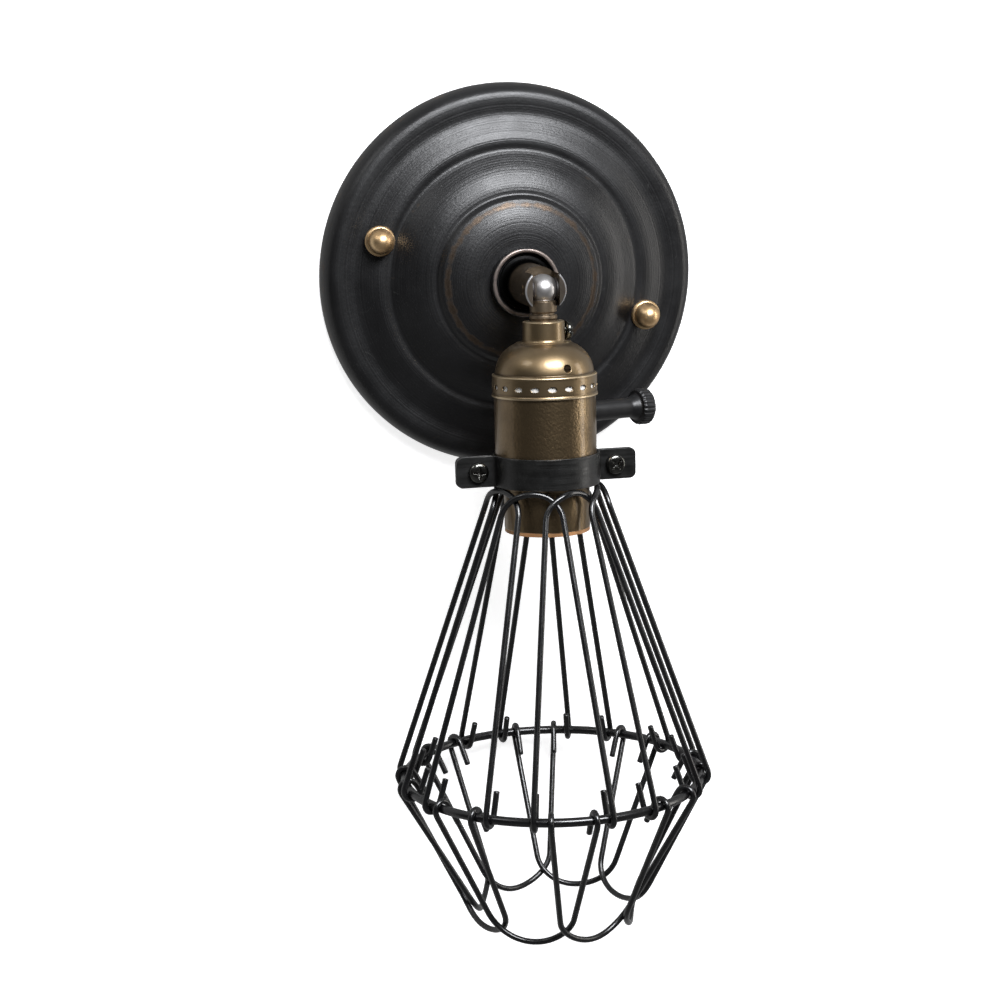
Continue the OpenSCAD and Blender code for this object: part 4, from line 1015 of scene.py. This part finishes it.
def clamp_path():
    """Plan points from the left ear's end to the right one's, 0.25 mm apart."""
    bend_r = 1.6
    centre_y = EAR_Y + bend_r
    centre_x = np.sqrt((BAND_R + bend_r) ** 2 - centre_y ** 2)
    sweep = np.arctan2(centre_y, centre_x)
    fillet = np.linspace(0, np.pi / 2 - sweep, 12)
    inner = np.stack([centre_x - bend_r * np.sin(fillet), centre_y - bend_r * np.cos(fillet)], 1)
    arc = np.linspace(sweep, np.pi / 2, 60)[1:]
    quarter = np.stack([BAND_R * np.cos(arc), BAND_R * np.sin(arc)], 1)
    ends = EAR_END - 0.02 - EAR_C * (1 - np.cos(np.linspace(0, np.pi / 2, 14)))
    straight = np.concatenate([ends, np.linspace(EAR_END - EAR_C - 0.4, centre_x + 0.2, 14)])
    ear = np.stack([straight, np.full(len(straight), EAR_Y)], 1)
    right_half = np.concatenate([ear, inner, quarter])
    return np.concatenate([right_half * [-1, 1], right_half[-2::-1]])


def strip(path, half_height, place, side):
    """The strip's section carried along the plan path; side -1 is the front half."""
    slope = direction(path)
    normal = np.stack([slope[:, 1], -slope[:, 0]], 1)
    out, bottom = BAND_T / 2, -CLAMP_H / 2
    low = [[-out, 0.7 - CLAMP_H / 2], [-out, bottom], [out, bottom], [out, 0.7 - CLAMP_H / 2]]
    section = rounded(np.concatenate([low, -np.array(low)]), [0, 0.22, 0.22, 0] * 2)
    shrink = CLAMP_H / 2 - half_height
    across_it, up = section[:, 0], section[:, 1]
    plan = path[:, None] + normal[:, None] * across_it[None, :, None]
    z = up[None, :] - np.sign(up)[None, :] * shrink[:, None]
    points = np.concatenate([plan * [1, side], (z - MID_DROP)[..., None]], -1)
    first, last = points[:1].mean(1, keepdims=True), points[-1:].mean(1, keepdims=True)
    points = np.concatenate([first + 0 * points[:1], points, last + 0 * points[:1]])
    rows, cols = points.shape[:2]
    points = place(points.reshape(-1, 3))
    on_edge = np.tile(np.abs(up) > CLAMP_H / 2 - 0.35, rows)
    return points, facing_out(points, grid(rows, cols)), on_edge


path = clamp_path()
from_end = EAR_END - np.abs(path[:, 0])
in_corner = np.clip(EAR_C - from_end, 0, EAR_C)
half_height = CLAMP_H / 2 - EAR_C + np.sqrt(np.clip(EAR_C ** 2 - in_corner ** 2, 0, None))
for name, side in (("clamp_front", -1), ("clamp_back", 1)):
    points, quads, edge = strip(path, half_height, in_lamp, side)
    piece(name + "_strip", [(points, quads)], clamp_black, "lamp_head", [name],
          {"wear_and_highlight": 0.55 * edge})

STACK = EAR_GAP + BAND_T + 0.05
skins = []
for hand in (-1, 1):
    def ear_place(points, hand=hand):
        """Z stands out to the front at the middle of one ear."""
        x, y, z = split(points)
        return in_lamp(np.stack([x + hand * EAR_SCREW, -z, y - MID_DROP], -1))
    cross = cross_recess(1.5, 0.55, 2.3, 20 + 25 * hand)
    skins.append(screw_head(3.5, 2.3, cross, beside(ear_place, 0, 0, STACK)))
    skins.append(threaded(1.9, -STACK - 4.6, STACK + 0.2, ear_place))
piece("clamp_pan_screws", skins, screw_black, "lamp_head", ["clamp_screws"])

# %% [markdown]
# ## The cage
# Eight hairpins hang from the clamp and eight petals close the bottom; all are
# hooked round one ring. Each wire is a path: a hook's straight end, a half turn
# round the ring, a leg, an arch, and the same back again. The legs lie on a
# cone, and at its arch a wire passes over one neighbour and under the other. The
# path is evened out to points 0.9 mm apart and lightly smoothed, then a circle is
# carried along it. Its first side always points away from the loop's middle
# line, and no part of the wire runs that way, so the tube never twists.

# %% Cage wires
RING_R, RING_DROP, RING_WIRE, WIRE_R = 53.2, 174.0, 1.55, 1.05
HOOK_R, HOOK_END, HOOK_SLACK = 3.1, 9.0, 0.45
CAGE_TURN = -8.0


def cage_place(radius, turn, drop):
    """Cylinder coordinates round the lampholder's axis, as points."""
    return np.stack([radius * np.cos(turn), radius * np.sin(turn), -drop + 0 * turn], -1)


def loop_path(half, far_half, way, far_r, far_drop, height):
    """The middle line of one wire; way is -1 for a hairpin and 1 for a petal."""
    half, far_half = np.radians([half, far_half])
    slant, fall = RING_R - far_r, abs(far_drop - RING_DROP)
    tilt = np.arctan2(slant, fall) + np.arcsin(HOOK_R / np.hypot(slant, fall))
    c, s = np.cos(tilt), np.sin(tilt)
    centre_r, centre_drop = RING_R - HOOK_SLACK * s, RING_DROP + way * HOOK_SLACK * c

    def leg_r(drop):
        """The leg's radius, which changes by tan(tilt) for each millimetre along the axis."""
        return RING_R + HOOK_R * c - way * (drop - RING_DROP - way * HOOK_R * s) * np.tan(tilt)

    u = np.linspace(np.pi, 0, 17)
    hook_r = centre_r + HOOK_R * (c * np.cos(u) + s * np.sin(u))
    hook_drop = centre_drop + way * HOOK_R * (s * np.cos(u) - c * np.sin(u))
    hook_r = np.concatenate([[centre_r - HOOK_R * c - HOOK_END * s], hook_r])
    hook_drop = np.concatenate([[centre_drop - way * (HOOK_R * s - HOOK_END * c)], hook_drop])
    v = np.linspace(-np.pi / 2, np.pi / 2, 41)
    turn = far_half * np.sin(v)
    drop = far_drop - way * height * (1 - np.cos(v))
    arch_r = leg_r(drop) - 1.25 * np.sin(turn * 4)
    hooks = [cage_place(hook_r, np.full(18, side), hook_drop) for side in (-half, half)]
    return np.concatenate([hooks[0], cage_place(arch_r, turn, drop), hooks[1][::-1]])


def evened(path, step=0.9, soften=0.8):
    """The path resampled at equal steps and smoothed by a short bell-shaped average."""
    run = distance_along(path)
    count = int(run[-1] / step) + 1
    at = np.linspace(0, run[-1], count)
    even = np.stack([np.interp(at, run, path[:, k]) for k in range(3)], 1)
    reach = np.arange(-3, 4) * step
    bell = np.exp(-0.5 * (reach / soften) ** 2)
    bell /= bell.sum()
    padded = np.concatenate([2 * even[:1] - even[3:0:-1], even, 2 * even[-1:] - even[-2:-5:-1]])
    return np.stack([np.convolve(padded[:, k], bell, "valid") for k in range(3)], 1)


def wire(path, radius, aside, place, sides=14):
    """A circle carried along a path, closed by a low dome at each cut end.

    At each point the circle's first axis is the vector aside less its part along
    the path; the second is square to both.
    """
    slope = direction(path)
    cap_step, cap_size = np.array([0.32, 0.27, 0.12]) * radius, np.array([0.0, 0.62, 0.93])
    path = np.concatenate([path[:1] - slope[:1] * cap_step[:, None], path,
                           path[-1:] + slope[-1:] * cap_step[::-1, None]])
    slope = np.concatenate([slope[:1].repeat(3, 0), slope, slope[-1:].repeat(3, 0)])
    size = radius * np.concatenate([cap_size, np.ones(len(path) - 6), cap_size[::-1]])
    first = aside - (slope @ aside)[:, None] * slope
    first /= np.linalg.norm(first, axis=1, keepdims=True)
    second = np.cross(slope, first)
    a = np.linspace(0, 2 * np.pi, sides, endpoint=False)[None, :, None]
    circle = np.cos(a) * first[:, None] + np.sin(a) * second[:, None]
    points = place((path[:, None] + size[:, None, None] * circle).reshape(-1, 3))
    return points, facing_out(points, grid(len(path), sides))


def turned_by(degrees):
    """A placer that turns points about the lampholder's axis first."""
    c, s = np.cos(np.radians(degrees)), np.sin(np.radians(degrees))

    def place(points):
        x, y, z = split(points)
        return in_lamp(np.stack([x * c - y * s, x * s + y * c, z], -1))
    return place


hairpin = evened(loop_path(36.5, 31.0, -1, BAND_R, CLAMP_END + WIRE_R + 0.05, 8.5))
petal = evened(loop_path(30.5, 27.0, 1, 28.1, 227.0, 10.5))
middle = np.array([1.0, 0.0, 0.0])
for index in range(1, 9):
    place = turned_by(CAGE_TURN + (index - 0.5) * 45)
    for kind, path in (("hairpin", hairpin), ("petal", petal)):
        piece(f"{kind}_wire_{index}", [wire(path, WIRE_R, middle, place)], wire_black, "lamp_head",
              [f"{kind}_{index}"])

round_it = np.linspace(0, 2 * np.pi, 20, endpoint=False)
ring_section = np.stack([RING_R + RING_WIRE * np.cos(round_it),
                         -RING_DROP + RING_WIRE * np.sin(round_it)], 1)
piece("cage_ring_wire", [turned(ring_section, in_lamp, 240)], wire_black, "lamp_head",
      ["cage_ring"])
print("wire points:", len(hairpin), len(petal))

# %% [markdown]
# ## The wall and the lamps
# The picture's background is plain white, with the object's soft shadow on it. A
# white wall alone would need so much light that the brass burnt out, so the wall
# also glows to the camera, but sheds no light. Mirrors see only a dimmer glow and
# not the lit wall, or the sides of the brass would turn white. Seen from behind,
# its back face is clear. One large softbox above and in front makes
# the canopy's broad highlights; the others are dim fills.

# %% Wall, floor and lamps
def plane(name, corners, material):
    """One flat quad from its four corners, kept as part of the stage."""
    mesh = bpy.data.meshes.new(name)
    mesh.from_pydata(corners, [], [[0, 1, 2, 3]])
    mesh.materials.append(material)
    made = bpy.data.objects.new(name, mesh)
    bpy.context.scene.collection.objects.link(made)
    made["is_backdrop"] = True
    return made


def pale(name, in_reflections):
    """A white matt surface that glows by 0.8 to the camera; a mirror sees in_reflections of it."""
    material = bpy.data.materials.new(name)
    material.use_nodes = True
    tree = material.node_tree
    tree.nodes.clear()
    path_kind = add(tree, "LightPath").outputs
    mirrored = math(tree, "MAXIMUM", path_kind["Is Glossy Ray"], path_kind["Is Transmission Ray"])
    seen = math(tree, "MULTIPLY", path_kind["Is Camera Ray"], 0.8)
    seen = math(tree, "MAXIMUM", seen, math(tree, "MULTIPLY", mirrored, in_reflections))
    glow = add(tree, "Emission", {"Color": (1, 1, 1, 1), "Strength": seen})
    matt = add(tree, "BsdfDiffuse", {"Color": ramp(tree, mirrored, 0.0, 1.0, 0.84, 0.0)})
    lit = add(tree, "AddShader", {0: glow.outputs[0], 1: matt.outputs[0]})
    clear = add(tree, "BsdfTransparent")
    back = add(tree, "NewGeometry").outputs["Backfacing"]
    mixed = add(tree, "MixShader", {0: back, 1: lit.outputs[0], 2: clear.outputs[0]})
    tree.links.new(mixed.outputs[0], add(tree, "OutputMaterial").inputs["Surface"])
    return material


WALL_Y, FLOOR_Z = 0.0004, -1.3
plane("wall", [(-4, WALL_Y, FLOOR_Z), (4, WALL_Y, FLOOR_Z), (4, WALL_Y, 3), (-4, WALL_Y, 3)],
      pale("white wall", 0.4))
plane("floor", [(-4, -4, FLOOR_Z), (4, -4, FLOOR_Z), (4, WALL_Y, FLOOR_Z), (-4, WALL_Y, FLOOR_Z)],
      pale("pale floor", 0.15))


def softbox(name, place, aim, width, height, power, colour=(1, 1, 1)):
    """A rectangular area lamp at place, turned to face aim."""
    data = bpy.data.lights.new(name, "AREA")
    data.shape, data.size, data.size_y = "RECTANGLE", width, height
    data.energy, data.color = power, colour
    made = bpy.data.objects.new(name, data)
    back = np.array(place, float) - np.array(aim, float)
    back /= np.linalg.norm(back)
    side = np.cross([0, 0, 1], back)
    side /= np.linalg.norm(side)
    pose = np.eye(4)
    pose[:3, :3] = np.stack([side, np.cross(back, side), back], 1)
    pose[:3, 3] = place
    made.matrix_world = Matrix(pose.tolist())
    bpy.context.scene.collection.objects.link(made)
    return made


softbox("key above", (0.11, -0.57, 0.46), (0, -0.03, -0.02), 0.44, 0.26, 8.4, (0.95, 0.965, 1.0))
softbox("left fill", (-0.5, -0.25, 0.5), (0, -0.05, -0.1), 0.24, 0.2, 0.5)
softbox("right fill", (0.75, -0.24, 0.0), (0, -0.05, -0.12), 0.16, 0.7, 1.6, (1.0, 0.97, 0.93))
softbox("back fill", (0.3, 0.7, 0.3), (0, 0, -0.1), 0.6, 0.6, 2.0)

world = bpy.data.worlds.new("studio")
bpy.context.scene.world = world
world.use_nodes = True
tree = world.node_tree
tree.nodes.clear()
path_kind = add(tree, "LightPath").outputs
level = ramp(tree, path_kind["Is Camera Ray"], 0.0, 1.0, 0.045, 1.0)
sky = add(tree, "Background", {"Color": (1, 1, 1, 1), "Strength": level})
tree.links.new(sky.outputs[0], add(tree, "OutputWorld").inputs["Surface"])

# %% [markdown]
# ## Sizes
# The dressed lamp must fill the same box as the CAD model. How far it reaches
# beyond the CAD box on each side is printed.

# %% Compare the boxes and finish
now_low, now_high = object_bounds()
grown = [round(float(v) * 1000, 2) for v in (*(cad_low - now_low), *(now_high - cad_high))]
print("visual box beyond the CAD box, mm:", grown)
